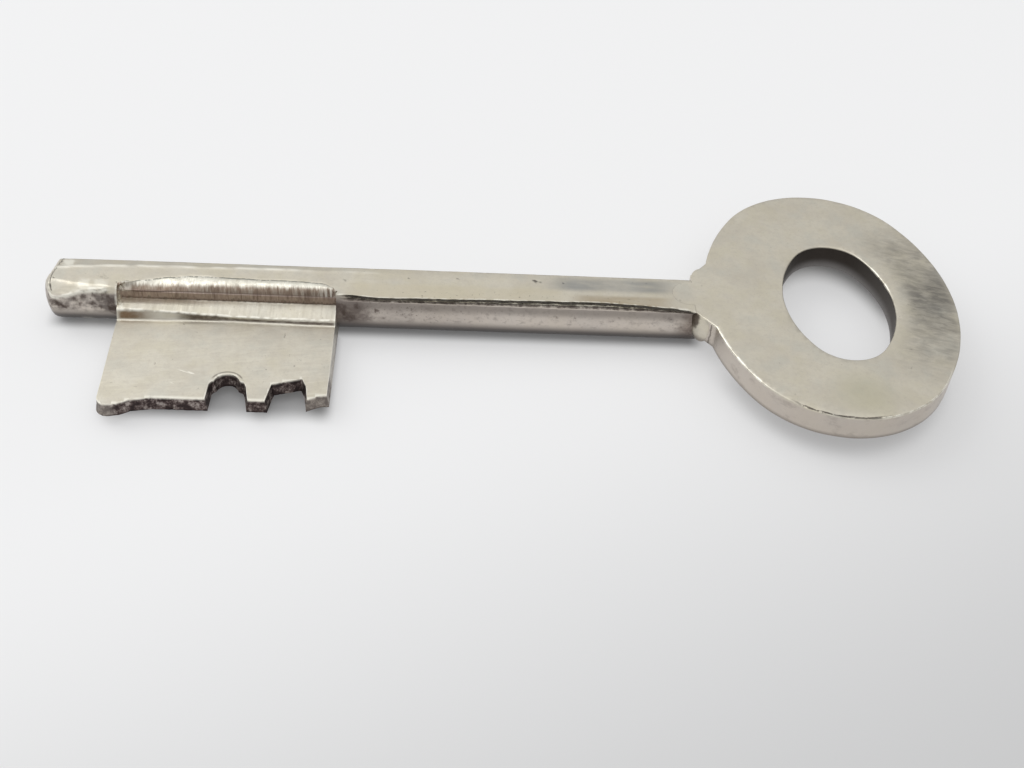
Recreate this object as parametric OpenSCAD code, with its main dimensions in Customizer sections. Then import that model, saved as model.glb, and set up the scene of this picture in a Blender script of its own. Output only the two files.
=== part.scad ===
// Lever lock door key: a flat oval bow, a round stem with a flat ground along
// its top, and a thin bit with a stepped root and two lever cuts.
// The key lies flat with its bit towards -Y and its bow towards +X. The origin
// is under the middle of its length, on the surface that it lies on.

/* [Overall] */
// Length from the tip of the stem to the far edge of the bow
key_l = 91.4; // [80:0.2:105]

/* [Stem] */
// Diameter of the round bar
stem_d = 6; // [5.4:0.1:6.8]
// Height of the flat ground along the top, above the bar's own axis
stem_flat_h = 2.15; // [2:0.05:2.4]
// How far the end of the tip bulges
tip_bulge = 1.1; // [0.6:0.1:1.6]
// Rounding between the bulged end and the bar's side
tip_edge_r = 0.8; // [0.3:0.1:1.2]

/* [Bow] */
// Width of the oval along the stem
bow_l = 25.7; // [23:0.1:29]
// Width of the oval across the stem
bow_w = 33.9; // [31:0.1:38]
// Radius of the tight arcs at the oval's two ends
bow_end_r = 11; // [10:0.1:11.4]
// Thickness of the bow
bow_t = 2.8; // [2.2:0.1:3.4]

/* [Key ring hole] */
// Width of the hole along the stem
hole_l = 11.2; // [9:0.1:13]
// Width of the hole across the stem
hole_w = 17.2; // [14:0.1:20]
// Radius of the tight arcs at the hole's two ends
hole_end_r = 4.2; // [3.6:0.1:4.4]
// How far the hole sits from the oval's middle, away from the stem
hole_out = 0.8; // [-1:0.1:1.5]
// How far the hole sits from the oval's middle, towards the bit's side
hole_side = 0.3; // [-1:0.1:1]

/* [Neck] */
// Half width of the neck at its narrow end, where it leaves the bar
neck_stem_w = 2.9; // [2.6:0.1:3.2]
// Half width of the neck where its shoulders run into the oval
neck_bow_w = 4.9; // [4.2:0.1:5.6]
// Reach of the neck past the oval, towards the tip
neck_l = 1.2; // [1:0.05:2.2]
// Width of the round-ended tongue that is let into the stem
tongue_w = 3.4; // [2.8:0.1:3.8]
// Reach of the tongue past the neck's narrow end
tongue_l = 2.1; // [2:0.1:4.5]
// Reach of the stem's shelf under the neck
shelf_l = 1.5; // [0.8:0.1:2.4]
// Slanted edge at the end of that shelf
shelf_edge = 1; // [0.4:0.1:1.4]

/* [Bit] */
// Length of the bit along the stem
bit_l = 21.3; // [20.6:0.1:23]
// Bare length of the stem in front of the bit
tip_l = 7.5; // [6:0.1:10]
// Distance from the stem's axis to the edge of the middle tooth
bit_reach = 14.5; // [13:0.1:15.5]
// Thickness of the thin web
web_t = 1.45; // [1.2:0.05:1.6]
// Depth of the web's upper face below the stem's flat
web_drop = 2.65; // [2.4:0.05:2.8]
// Depth of the ledge's inner edge below the stem's flat
ledge_drop = 1.5; // [1.2:0.05:1.8]
// How far the ledge falls from its inner to its outer edge
ledge_fall = 0.4; // [0:0.05:0.5]
// Distance from the axis to the wall that rises from the ledge
wall_y = 1.95; // [1.8:0.05:2]
// Distance from the axis to the outer edge of the ledge
ledge_y = 3.7; // [3.3:0.1:4.2]
// Depth of the root's underside below the web's underside
root_heel = 0.15; // [0:0.05:0.3]
// Hollow rounding at the foot of the ledge, on the web
foot_r = 0.3; // [0.1:0.05:0.5]
// Reach of the tenon that holds the bit in the stem
tenon_l = 2.2; // [1.6:0.1:2.6]
// Thickness of that tenon
tenon_t = 1.4; // [1:0.1:1.5]

/* [Teeth and lever cuts] */
// Width of the wide tooth at the tip end
tooth_a = 9.95; // [9:0.05:10.4]
// Width of the first lever cut at its mouth
cut_a = 3.95; // [3:0.05:4]
// Width of the middle tooth at its edge
tooth_b = 1.6; // [1.4:0.05:2.2]
// Width of the second lever cut at its mouth
cut_b = 3.9; // [3:0.05:4]
// How far the slanted sides of the cuts draw in at their roofs
cut_taper = 0.45; // [0:0.05:0.8]
// Depth of the first cut
cut_a_depth = 2.5; // [1.8:0.1:3.5]
// Diameter of the round file bite in the roof of the first cut
bite_d = 2.4; // [1.4:0.1:2.8]
// Depth of that bite above the roof
bite_depth = 0.9; // [0.5:0.05:1.1]
// Depth of the second cut beside the middle tooth
cut_b_depth = 2.3; // [1.6:0.1:3]
// Extra depth of the second cut at its other side
cut_b_slope = 0.8; // [0:0.1:1.2]
// How much further the wide tooth reaches at its outer corner
heel_reach = 1.1; // [0.2:0.05:1.6]
// Width over which the wide tooth falls back to the middle tooth's reach
heel_w = 5; // [3.5:0.1:7]
// Rounding of the outer corner
heel_r = 0.9; // [0.5:0.1:1.2]
// How much shorter the last tooth is beside its cut
toe_back = 0.35; // [0:0.05:0.6]
// How much shorter still it is at the end of the bit
toe_slope = 0.65; // [0:0.05:1]

/* [Brazing] */
// Gap that the brazing metal fills round the tenon and the tongue
braze_gap = 0.05; // [0.02:0.01:0.1]
// Height of the bead above the stem's flat
bead_h = 0.25; // [0.15:0.01:0.4]
// Width of the bead on top of the stem
bead_w = 1.65; // [1.25:0.05:2.2]
// Radius of the bead's crown, which rolls over the edge of the seat
bead_crown_r = 1.3; // [1.25:0.05:1.6]
// Distance from the seat's wall to the bead's highest line
bead_crown_w = 1.2; // [1.05:0.05:1.2]
// Width of the bevel along the seat's upper edge, which the bead fills
seat_bevel_w = 0.75; // [0.5:0.05:0.9]
// Length over which the bead widens from its point at the tip end
bead_run = 5; // [3:0.1:8]
// Slanted corner of the bead at the bow end
bead_corner = 0.9; // [0.3:0.1:1]
// Reach of the neck's fillets along the bar, from the end of the neck
neck_fillet_l = 0.8; // [0.6:0.1:2.5]
// Reach of the neck's fillets up its shoulders, from the end of the neck
neck_fillet_w = 0.6; // [0.3:0.05:0.9]
// Reach of the neck's fillets below the bow
neck_fillet_h = 0.6; // [0.3:0.05:0.9]

/* [Hidden] */
$fn = 96;
// Overlap of two shapes that join, and how far a cut runs past what it cuts
eps = 0.01;
past = 1;

nickel = [0.77, 0.75, 0.7];
pale_nickel = [0.82, 0.8, 0.74];
braze_tone = [0.86, 0.84, 0.76];

// Heights
stem_r = stem_d / 2;
axis_z = stem_r;
top_z = axis_z + stem_flat_h;
bow_z = top_z - bow_t;
ledge_z = top_z - ledge_drop;
web_top_z = top_z - web_drop;
web_z = web_top_z - web_t;
root_z = web_z - root_heel;
tenon_z = web_z + (web_t - tenon_t) / 2;
// Height of the bead's centre line, and of its front edge on the seat's wall
bead_axis_z = top_z + bead_h - bead_crown_r;
bead_foot_z = bead_axis_z + sqrt(bead_crown_r * bead_crown_r - bead_crown_w * bead_crown_w);

// Places along the key
tip_x = -key_l / 2;
bow_x = key_l / 2 - bow_l / 2;
bit_x = tip_x + tip_l;
bit_end_x = bit_x + bit_l;
neck_x = bow_x - bow_l / 2 - neck_l;
stem_end_x = neck_x + shelf_l;
tongue_x = neck_x - tongue_l;

// Half width of the flat on the stem
flat_w = sqrt(stem_r * stem_r - stem_flat_h * stem_flat_h);

// Radius of the flatter arcs of an oval whose half widths are a and b, with b
// along Y, and whose two ends have the radius r
function side_radius(a, b, r) = (a * a + b * b - 2 * b * r) / (2 * (a - r));

// Where the neck's shoulders run into the bow's flatter arc
bow_side_r = side_radius(bow_l / 2, bow_w / 2, bow_end_r);
shoulder_x = bow_x - bow_l / 2 + bow_side_r
    - sqrt(bow_side_r * bow_side_r - neck_bow_w * neck_bow_w);
shoulder_slope = (neck_bow_w - neck_stem_w) / (shoulder_x - neck_x);

// Plan of the bit's outer edge, counted along the bit from its tip end
edge_y = bit_reach - wall_y;
cut_b_x = tooth_a + cut_a + tooth_b;
tooth_c_x = cut_b_x + cut_b;
// Room past the outer edge that the lever cuts run through
cut_room = 4;
// Bends of the wide tooth's edge, as shares of heel_w and heel_reach
heel_bends = [[0.4, 0.9], [0.6, 0.35]];
// Bend of the bead's widening edge, as shares of bead_run and bead_w
bead_bend = [0.35, 0.55];

// Oval of four arcs, l wide along X and w wide along Y
module oval(l, w, end_r) {
    a = l / 2;
    b = w / 2;
    side_r = side_radius(a, b, end_r);
    // Where the end arcs meet the side arcs
    meet_y = (b - end_r) * side_r / (side_r - end_r);
    for (s = [-1, 1]) translate([0, s * (b - end_r)]) circle(r = end_r);
    intersection() {
        translate([side_r - a, 0]) circle(r = side_r);
        translate([a - side_r, 0]) circle(r = side_r);
        square([l, 2 * meet_y], center = true);
    }
}

// Plan of the neck: slanted shoulders that run into the oval
module neck_plan() {
    // The neck's inner end, halfway between the oval's edge and the hole
    inner_x = bow_x - (bow_l + hole_l) / 4;
    polygon([
        [neck_x, -neck_stem_w],
        [shoulder_x, -neck_bow_w],
        [inner_x, -neck_bow_w],
        [inner_x, neck_bow_w],
        [shoulder_x, neck_bow_w],
        [neck_x, neck_stem_w]
    ]);
}

// Plan of the tongue: a bar with a round end, widened by a gap for its pocket
module tongue_plan(gap) {
    round_x = tongue_x + tongue_w / 2;
    half_w = tongue_w / 2 + gap;
    translate([round_x, 0]) circle(r = half_w);
    translate([round_x, -half_w]) square([neck_x - round_x + eps, 2 * half_w]);
}

// Flat oval bow with the key ring hole, its neck and the tongue
module bow() {
    color(nickel) translate([0, 0, bow_z]) linear_extrude(bow_t) difference() {
        union() {
            translate([bow_x, 0]) oval(bow_l, bow_w, bow_end_r);
            neck_plan();
            tongue_plan(0);
        }
        translate([bow_x + hole_out, -hole_side]) oval(hole_l, hole_w, hole_end_r);
    }
}

// Half outline of the bar, from its axis out: bulged tip, side and slanted end
module bar_outline() {
    bulge_r = (stem_r * stem_r + tip_bulge * tip_bulge) / (2 * tip_bulge);
    inner_r = stem_r - tip_edge_r;
    reach = bulge_r - tip_edge_r;
    edge_x = tip_x + bulge_r - sqrt(reach * reach - inner_r * inner_r);
    // Where the bulge runs over into the rounding
    meet_r = inner_r * bulge_r / reach;
    translate([inner_r, edge_x]) circle(r = tip_edge_r);
    intersection() {
        translate([0, tip_x + bulge_r]) circle(r = bulge_r);
        translate([0, tip_x - past]) square([meet_r, bulge_r]);
    }
    translate([0, edge_x]) square([stem_r, stem_end_x - shelf_edge - edge_x]);
    polygon([
        [0, stem_end_x - shelf_edge - eps],
        [stem_r, stem_end_x - shelf_edge - eps],
        [stem_r, stem_end_x - shelf_edge],
        [stem_r - shelf_edge, stem_end_x],
        [0, stem_end_x]
    ]);
}

// Round bar of the stem, lying along X
module stem_bar() {
    translate([0, 0, axis_z]) rotate([0, 90, 0]) rotate_extrude() intersection() {
        bar_outline();
        translate([0, tip_x - past]) square([stem_d, key_l]);
    }
}

// Runs a section, drawn in Y and Z, along the bit and past both its ends
module along_bit() {
    translate([bit_x - past, 0, 0]) rotate([90, 0, 90]) linear_extrude(bit_l + 2 * past) children();
}

// Milled seat for the bit: a flat side, a slot for the tenon, and a bevel along
// its upper edge where the bead lies
module bit_seat() {
    translate([bit_x, -stem_d, -past]) cube([bit_l, stem_d - wall_y, stem_d + 2 * past]);
    translate([bit_x, -wall_y - past, tenon_z - braze_gap])
        cube([bit_l, past + tenon_l + braze_gap, tenon_t + 2 * braze_gap]);
    intersection() {
        translate([0, 0, bead_foot_z - past]) linear_extrude(stem_d) bead_plan(braze_gap);
        along_bit() polygon([
            [-wall_y, bead_foot_z - braze_gap],
            [seat_bevel_w - wall_y, top_z - braze_gap],
            [seat_bevel_w - wall_y, top_z + past],
            [-wall_y, top_z + past]
        ]);
    }
}

// Pocket for the bow's neck and tongue, open at the top
module bow_seat() {
    translate([0, 0, bow_z]) linear_extrude(stem_d) tongue_plan(braze_gap);
    translate([neck_x, -stem_d, bow_z]) cube([stem_d, 2 * stem_d, stem_d]);
}

// Round stem with the flat along its top
module stem() {
    color(nickel) difference() {
        stem_bar();
        translate([tip_x - past, -stem_d, top_z]) cube([key_l, 2 * stem_d, stem_d]);
        bit_seat();
        bow_seat();
    }
}

// Lever cut from the outer edge. The side towards the bow slants in, and so
// does the side towards the tip by near_taper
module lever_cut(mouth_w, near_depth, far_depth, near_taper) {
    polygon([
        [0, cut_room],
        [0, 0],
        [near_taper, -near_depth],
        [mouth_w - cut_taper, -far_depth],
        [mouth_w, 0],
        [mouth_w, cut_room]
    ]);
}

// Plan of the bit, its corner at the tip end of the root
module web_plan() {
    difference() {
        union() {
            translate([heel_r, edge_y + heel_reach - heel_r]) circle(r = heel_r);
            polygon([
                [0, 0],
                [0, edge_y + heel_reach - heel_r],
                [heel_r, edge_y + heel_reach - heel_r],
                [heel_r, edge_y + heel_reach],
                for (b = heel_bends) [b[0] * heel_w, edge_y + b[1] * heel_reach],
                [heel_w, edge_y],
                [tooth_c_x, edge_y],
                [tooth_c_x, edge_y - toe_back],
                [bit_l, edge_y - toe_back - toe_slope],
                [bit_l, 0]
            ]);
        }
        translate([tooth_a, edge_y]) {
            lever_cut(cut_a, cut_a_depth, cut_a_depth, 0);
            translate([(cut_a - cut_taper) / 2, bite_d / 2 - cut_a_depth - bite_depth])
                circle(d = bite_d);
        }
        translate([cut_b_x, edge_y])
            lever_cut(cut_b, cut_b_depth, cut_b_depth + cut_b_slope, cut_taper);
    }
}

// Section of the thick root with its tenon, drawn in Y and Z
module root_section() {
    polygon([
        [-wall_y, root_z],
        [-wall_y, ledge_z],
        [-ledge_y, ledge_z - ledge_fall],
        [-ledge_y, root_z]
    ]);
    translate([-wall_y - eps, tenon_z]) square([tenon_l + eps, tenon_t]);
    difference() {
        translate([-ledge_y - foot_r, web_top_z - eps]) square([foot_r + eps, foot_r + eps]);
        translate([-ledge_y - foot_r, web_top_z + foot_r]) circle(r = foot_r);
    }
}

// Thin bit with its stepped root and the lever cuts in its outer edge
module bit() {
    color(pale_nickel) {
        translate([bit_x, -wall_y, web_z]) mirror([0, 1, 0]) linear_extrude(web_t) web_plan();
        translate([bit_x, 0, 0]) rotate([90, 0, 90]) linear_extrude(bit_l) root_section();
    }
}

// Plan of the bead of brazing metal on top of the stem, widened by a gap for
// the bevel that it fills
module bead_plan(gap) {
    translate([bit_x, -wall_y]) polygon([
        [-gap, 0],
        [-gap, gap],
        [bead_bend[0] * bead_run - gap, bead_bend[1] * bead_w + gap],
        [bead_run - gap, bead_w + gap],
        [bit_l - bead_corner, bead_w + gap],
        [bit_l + gap, bead_w - bead_corner],
        [bit_l + gap, 0]
    ]);
}

// Bead of brazing metal that closes the seam over the bit's root: it fills the
// bevel of the seat and rolls over its edge
module bit_braze() {
    color(braze_tone) difference() {
        intersection() {
            translate([0, 0, bead_foot_z]) linear_extrude(stem_d) bead_plan(0);
            along_bit() translate([bead_crown_w - wall_y, bead_axis_z]) circle(r = bead_crown_r);
        }
        // The stem under the bead
        along_bit() polygon([
            [-wall_y - past, bead_foot_z - past],
            [-wall_y - past, bead_foot_z],
            [-wall_y, bead_foot_z],
            [seat_bevel_w - wall_y, top_z],
            [stem_r, top_z],
            [stem_r, bead_foot_z - past]
        ]);
    }
}

// Plan of one fillet, from the edge of the stem's flat to the neck's shoulder
module neck_fillet_plan() {
    polygon([
        [neck_x - neck_fillet_l, 0],
        [neck_x - neck_fillet_l, flat_w + braze_gap],
        [neck_x + neck_fillet_w, neck_stem_w + neck_fillet_w * shoulder_slope],
        [neck_x + neck_fillet_w, 0]
    ]);
}

// Brazing fillets in the corners between the bar and the neck's shoulders
module neck_braze() {
    color(braze_tone) for (s = [0, 1]) mirror([0, s, 0]) difference() {
        translate([0, 0, bow_z - neck_fillet_h]) linear_extrude(bow_t + neck_fillet_h)
            neck_fillet_plan();
        translate([tip_x, 0, axis_z]) rotate([0, 90, 0]) cylinder(r = stem_r, h = key_l);
        translate([0, 0, bow_z]) linear_extrude(stem_d) neck_plan();
    }
}

bow();
stem();
bit();
bit_braze();
neck_braze();
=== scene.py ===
# %% [markdown]
# # A worn lever key, dressed around its CAD frame
#
# The key is a made-up thing: a flat oval bow, a round stem and a thin bit are
# brazed together, nickel plated, and then rubbed in a pocket for years. The CAD
# frame holds each piece at its real size. This script gives each one the soft
# edges, the file marks and the tarnish that a plain solid lacks.
#
# Meshes are shaped in millimetres, which are easier to think in, and each one
# is scaled to metres at the end, where it stays at the origin of the frame.

import math

import bmesh
import bpy
from mathutils import Matrix, Vector, noise


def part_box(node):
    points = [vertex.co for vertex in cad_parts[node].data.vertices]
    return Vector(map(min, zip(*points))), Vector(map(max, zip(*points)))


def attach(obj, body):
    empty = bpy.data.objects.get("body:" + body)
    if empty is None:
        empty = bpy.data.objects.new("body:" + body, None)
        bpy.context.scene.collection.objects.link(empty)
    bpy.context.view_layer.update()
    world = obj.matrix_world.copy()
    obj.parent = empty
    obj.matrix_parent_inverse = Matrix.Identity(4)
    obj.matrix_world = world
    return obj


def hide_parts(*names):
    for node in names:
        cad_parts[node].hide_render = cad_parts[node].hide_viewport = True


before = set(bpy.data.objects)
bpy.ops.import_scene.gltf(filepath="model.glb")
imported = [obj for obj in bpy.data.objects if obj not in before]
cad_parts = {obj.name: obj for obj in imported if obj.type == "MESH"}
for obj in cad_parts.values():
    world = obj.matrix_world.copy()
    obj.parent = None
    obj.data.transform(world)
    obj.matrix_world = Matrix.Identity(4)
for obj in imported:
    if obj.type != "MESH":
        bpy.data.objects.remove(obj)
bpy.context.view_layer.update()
scene = bpy.context.scene
MM = 0.001
print("CAD nodes:", ", ".join(sorted(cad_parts)))

# %% [markdown]
# ## Where the pieces are
#
# Every place comes from the frame's own boxes, so the dressed pieces follow if
# the CAD sizes change. Only the shapes inside a box, such as the radius of the
# bow's arcs, are named again here.

# %% Places, in millimetres


def box_mm(node):
    """The lowest and the highest corner of a CAD node, in millimetres."""
    low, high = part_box(node)
    return low / MM, high / MM


bow_low, bow_high = box_mm("bow")
stem_low, stem_high = box_mm("stem")
bit_low, bit_high = box_mm("bit")
bead_low, bead_high = box_mm("bit_braze")

TOP = bow_high.z
BOW_UNDER = bow_low.z
STEM_R = stem_high.y
TIP_X = stem_low.x
WALL_Y = bead_low.y
BEAD_FOOT = bead_low.z
print(f"key {bow_high.x - TIP_X:.1f} mm long, stem {2 * STEM_R:.1f} mm, top at {TOP:.2f} mm")

# %% [markdown]
# ## The camera
#
# The photograph was taken from in front of the bit, looking down at about 44
# degrees with the camera a little tilted. The lens is 50 mm on a full frame.
# The camera's axes are written out from those three angles, which is clearer
# than guessing at Euler angles, and the matrix takes them as its columns.

# %% Camera
CAMERA_MM = Vector((-6.785, -108.251, 97.804))
CAMERA_YAW = math.radians(4.281)
CAMERA_PITCH = math.radians(44.394)
CAMERA_ROLL = math.radians(4.888)

ahead = Vector((math.sin(CAMERA_YAW), math.cos(CAMERA_YAW), 0))
level = Vector((math.cos(CAMERA_YAW), -math.sin(CAMERA_YAW), 0))
up = Vector((0, 0, 1))
forward = math.cos(CAMERA_PITCH) * ahead - math.sin(CAMERA_PITCH) * up
above = math.sin(CAMERA_PITCH) * ahead + math.cos(CAMERA_PITCH) * up
right = math.cos(CAMERA_ROLL) * level + math.sin(CAMERA_ROLL) * above
over = -math.sin(CAMERA_ROLL) * level + math.cos(CAMERA_ROLL) * above

lens = bpy.data.cameras.new("photo_camera")
lens.lens = 50
lens.sensor_width = 36
lens.clip_start = 0.005
lens.clip_end = 20
camera = bpy.data.objects.new("photo_camera", lens)
axes = Matrix((right, over, -forward)).transposed()
camera.matrix_world = Matrix.Translation(CAMERA_MM * MM) @ axes.to_4x4()
scene.collection.objects.link(camera)
scene.camera = camera
print("camera is", round(CAMERA_MM.length / 10), "cm from the key")

# %% [markdown]
# ## Shader maths in plain Python
#
# A finish is worked out as a graph of nodes. Written node by node it is long
# and hard to read, so a small class wraps a socket: adding or multiplying two
# of them adds a Math node. Any other node comes from one method, `node`, which
# sets its settings first and then fills its sockets.

# %% A socket that does arithmetic


class Wire:
    """An output socket. Arithmetic on it adds Math nodes to its tree."""

    def __init__(self, tree, socket):
        self.tree = tree
        self.socket = socket

    def __add__(self, other):
        return self.tree.maths("ADD", self, other)

    def __sub__(self, other):
        return self.tree.maths("SUBTRACT", self, other)

    def __rsub__(self, other):
        return self.tree.maths("SUBTRACT", other, self)

    def __mul__(self, other):
        return self.tree.maths("MULTIPLY", self, other)

    def __truediv__(self, other):
        return self.tree.maths("DIVIDE", self, other)

    def __pow__(self, other):
        return self.tree.maths("POWER", self, other)

    __radd__ = __add__
    __rmul__ = __mul__

    def between(self, low, high):
        """0 up to low, 1 from high on, and smooth in between. It falls if low is above high."""
        steps = {"interpolation_type": "SMOOTHSTEP", "clamp": True}
        if low > high:
            return 1 - self.between(high, low)
        return self.tree.node("ShaderNodeMapRange", steps, {0: self, 1: low, 2: high})

    def within(self, low, high, soft):
        """1 from low to high, and 0 beyond a soft edge on each side."""
        return self.between(low - soft, low) * self.between(high + soft, high)


class Tree:
    """A tree of shader nodes, with one method that adds any node to it."""

    def __init__(self, nodes):
        self.nodes = nodes

    def node(self, kind, settings=None, sockets=None, output=0):
        """Adds a node and returns one of its outputs as a Wire, or the node if output is None."""
        made = self.nodes.nodes.new(kind)
        for name, value in (settings or {}).items():
            setattr(made, name, value)
        for name, value in (sockets or {}).items():
            self.feed(made.inputs[name], value)
        return made if output is None else Wire(self, made.outputs[output])

    def feed(self, socket, value):
        """Links a Wire to a socket, or sets the socket's own value."""
        if isinstance(value, Wire):
            self.nodes.links.new(value.socket, socket)
        else:
            socket.default_value = value

    def maths(self, operation, *values):
        """Adds a Math node that works on one or more values."""
        return self.node("ShaderNodeMath", {"operation": operation}, dict(enumerate(values)))

    def larger(self, first, second):
        """The larger of two values."""
        return self.maths("MAXIMUM", first, second)


# %% [markdown]
# A finish is laid down in layers: first a colour, then clouds, scratches and
# dirt over it, each only where its mask lets it. So this class keeps the colour
# and the bumps that are there so far, and each layer is one more call. Patterns
# are read in millimetres of the piece's own space, so that they stay on the
# metal wherever the camera stands.

# %% A finish that makes its nodes


class Finish(Tree):
    """A material with one Principled shader, and methods that lay colours and bumps on it."""

    def __init__(self, name, tone):
        self.material = bpy.data.materials.new(name)
        self.material.use_nodes = True
        super().__init__(self.material.node_tree)
        self.shader = self.nodes.nodes["Principled BSDF"]
        metres = self.node("ShaderNodeTexCoord", output="Object")
        self.place = self.node("ShaderNodeVectorMath", {"operation": "SCALE"}, {0: metres, "Scale": 1 / MM})
        split = self.node("ShaderNodeSeparateXYZ", {}, {0: self.place}, output=None)
        self.x, self.y, self.z = (Wire(self, out) for out in split.outputs)
        self.tone = tone
        self.rough = self.relief = None

    def speckle(self, per_mm, detail=3.0, rough=0.5, stretch=(1, 1, 1), turn=0.0, seed=0, warp=0.0):
        """Soft noise from 0 to 1 with so many waves a millimetre, drawn out where stretch is large."""
        drawn = {"Vector": self.place, "Scale": stretch, "Rotation": (0, 0, math.radians(turn))}
        place = self.node("ShaderNodeMapping", {"vector_type": "TEXTURE"}, drawn)
        shift = {0: place, 1: (seed * 7.3, seed * 3.1, seed * 5.7)}
        place = self.node("ShaderNodeVectorMath", {"operation": "ADD"}, shift)
        waves = {"Scale": per_mm, "Detail": detail, "Roughness": rough, "Distortion": warp}
        return self.node("ShaderNodeTexNoise", {}, {"Vector": place, **waves})

    def reach(self, x, y):
        """The distance of a point from an upright line at x and y."""
        return self.maths("SQRT", (self.x - x) * (self.x - x) + (self.y - y) * (self.y - y))

    def oval(self, x, y, half_long, half_wide):
        """0 in the middle of an upright oval, 1 on its wall, and more beyond."""
        along, across = (self.x - x) / half_long, (self.y - y) / half_wide
        return along * along + across * across

    def painted(self, name):
        """What the mesh's points say under that name, from 0 to 1."""
        return self.node("ShaderNodeAttribute", {"attribute_name": name}, output="Fac")

    def mix(self, factor, first, second):
        """Blends two colours: first where factor is 0, second where it is 1."""
        first, second = (c if isinstance(c, Wire) else (*c, 1) for c in (first, second))
        return self.node("ShaderNodeMix", {"data_type": "RGBA"}, {0: factor, 6: first, 7: second}, output=2)

    def lay(self, mask, colour):
        """Lays a colour over what is there, where mask is 1."""
        self.tone = self.mix(mask, self.tone, colour)

    def emboss(self, height, strength, depth_mm):
        """Adds a bump to those that are there."""
        sockets = {"Height": height, "Strength": strength, "Distance": depth_mm * MM}
        if self.relief:
            sockets["Normal"] = self.relief
        self.relief = self.node("ShaderNodeBump", {}, sockets)

    def set(self, **sockets):
        """Feeds the shader's own sockets, whose names are written with _ for a space."""
        for name, value in sockets.items():
            self.feed(self.shader.inputs[name.replace("_", " ")], value)
        return self.material

    def metal(self):
        """Makes what was laid down a bare metal, and returns the material."""
        return self.set(Metallic=1.0, Base_Color=self.tone, Roughness=self.rough, Normal=self.relief)


# %% [markdown]
# ## The nickel
#
# Old nickel is warm and pale, and never even. Four things show from close up:
# a cloudy mottling a few millimetres across, partly yellow and partly grey,
# fine scratches along the way that the piece was rubbed, small dark pits, and a
# brown tarnish that stays where fingers and files don't reach. One function
# lays these down, and each piece then says where its own tarnish is. A picture
# wrapped round the key could show the same, but noise has no seams and no end.

# %% Nickel plate
NICKEL = (0.665, 0.620, 0.520)
DULL_NICKEL = (0.545, 0.500, 0.420)
YELLOW_NICKEL = (0.615, 0.565, 0.425)
GREY_NICKEL = (0.530, 0.530, 0.480)
PINK_NICKEL = (0.560, 0.495, 0.455)
GRAIN = (0.430, 0.405, 0.350)
BROWN = (0.235, 0.172, 0.128)
SOOT = (0.050, 0.040, 0.034)
DARK_DIRT_AND_SHADE = (0.150, 0.118, 0.102)
PALE_BROWN = (0.500, 0.430, 0.340)
PIT = (0.150, 0.130, 0.110)
BRIGHT = (0.930, 0.900, 0.800)


def nickel(name, scratch_turn, scratch_stretch, clouds=0.5, pits=1.0, colour=NICKEL):
    """The finish of a worn plate, with its colours, its roughness and its bumps laid down."""
    plate = Finish(name, colour)
    cloud = plate.speckle(0.20, detail=4, rough=0.62, seed=1)
    hue = plate.speckle(0.34, detail=3, rough=0.55, seed=6)
    grain = plate.speckle(1.7, detail=4, rough=0.65, seed=2)
    scratch = plate.speckle(1.1, detail=5, rough=0.7, stretch=scratch_stretch, turn=scratch_turn, seed=3)
    fine = plate.speckle(5.0, detail=3, rough=0.7, seed=4)
    pit = plate.speckle(1.5, detail=2, rough=0.45, seed=5).between(0.735, 0.80) * pits

    plate.lay(cloud.between(0.38, 0.66) * clouds, DULL_NICKEL)
    plate.lay(hue.between(0.46, 0.66) * clouds * 0.8, YELLOW_NICKEL)
    plate.lay(hue.between(0.50, 0.30) * clouds * 0.8, GREY_NICKEL)
    plate.lay(grain.between(0.42, 0.70) * 0.34, DULL_NICKEL)
    plate.lay(fine.between(0.52, 0.72) * 0.26, GRAIN)
    plate.lay(scratch.between(0.56, 0.72) * 0.22, DULL_NICKEL)
    plate.lay(pit * 0.75, PIT)

    plate.rough = 0.27 + 0.10 * cloud + 0.08 * scratch + 0.10 * pit
    plate.emboss(fine, 0.22, 0.014)
    plate.emboss(grain, 0.20, 0.025)
    plate.emboss(scratch, 0.22, 0.020)
    plate.emboss(1 - pit, 0.6, 0.040)
    return plate


print("clean nickel has the colour", NICKEL)

# %% [markdown]
# ## Modelling helpers
#
# Blender's bmesh operators do the shaping, and a few helpers call them in the
# ways that come up again and again: a chain of arcs made by spinning one
# vertex, a set of cuts across a mesh that give it points to shape, and the last
# step that turns the bmesh into a piece which rides on the frame. A cut by a
# plane moves nothing, so cuts can lie as close as the wear needs. Blender may
# keep the points in another order in the next run, so they are put in a fixed
# order before close ones are merged.

# %% Helpers for meshes
ARC_STEP = 0.30
SHARP_FOLD = 38
SORT_BY = Vector((1.0, 3.1, 7.7))


def everything(bm):
    """All points, edges and faces."""
    return bm.verts[:] + bm.edges[:] + bm.faces[:]


def spin_vertex(bm, vert, centre, degrees):
    """Draws an arc by spinning a vertex about a centre, and returns the arc's last vertex."""
    radius = (vert.co - Vector(centre)).length
    steps = max(2, round(radius * math.radians(abs(degrees)) / ARC_STEP))
    spun = bmesh.ops.spin(
        bm, geom=[vert], cent=centre, axis=(0, 0, 1), angle=math.radians(degrees), steps=steps,
        use_duplicate=False,
    )
    return next(item for item in spun["geom_last"] if isinstance(item, bmesh.types.BMVert))


def draw_line(bm, vert, *points):
    """Draws straight edges from a vertex through the points, and returns the last vertex."""
    for point in points:
        there = bm.verts.new(point)
        bm.edges.new((vert, there))
        vert = there
    return vert


def slice_at(bm, axis, place):
    """Cuts the mesh by one plane across an axis."""
    normal = Vector([float(axis == i) for i in range(3)])
    bmesh.ops.bisect_plane(bm, geom=everything(bm), dist=1e-5, plane_co=normal * place, plane_no=normal)


def slice_across(bm, axis, start, stop, step):
    """Cuts the mesh by a row of planes across one axis, so that it has points to shape."""
    for i in range(math.ceil((stop - start) / step)):
        slice_at(bm, axis, start + i * step)


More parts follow.
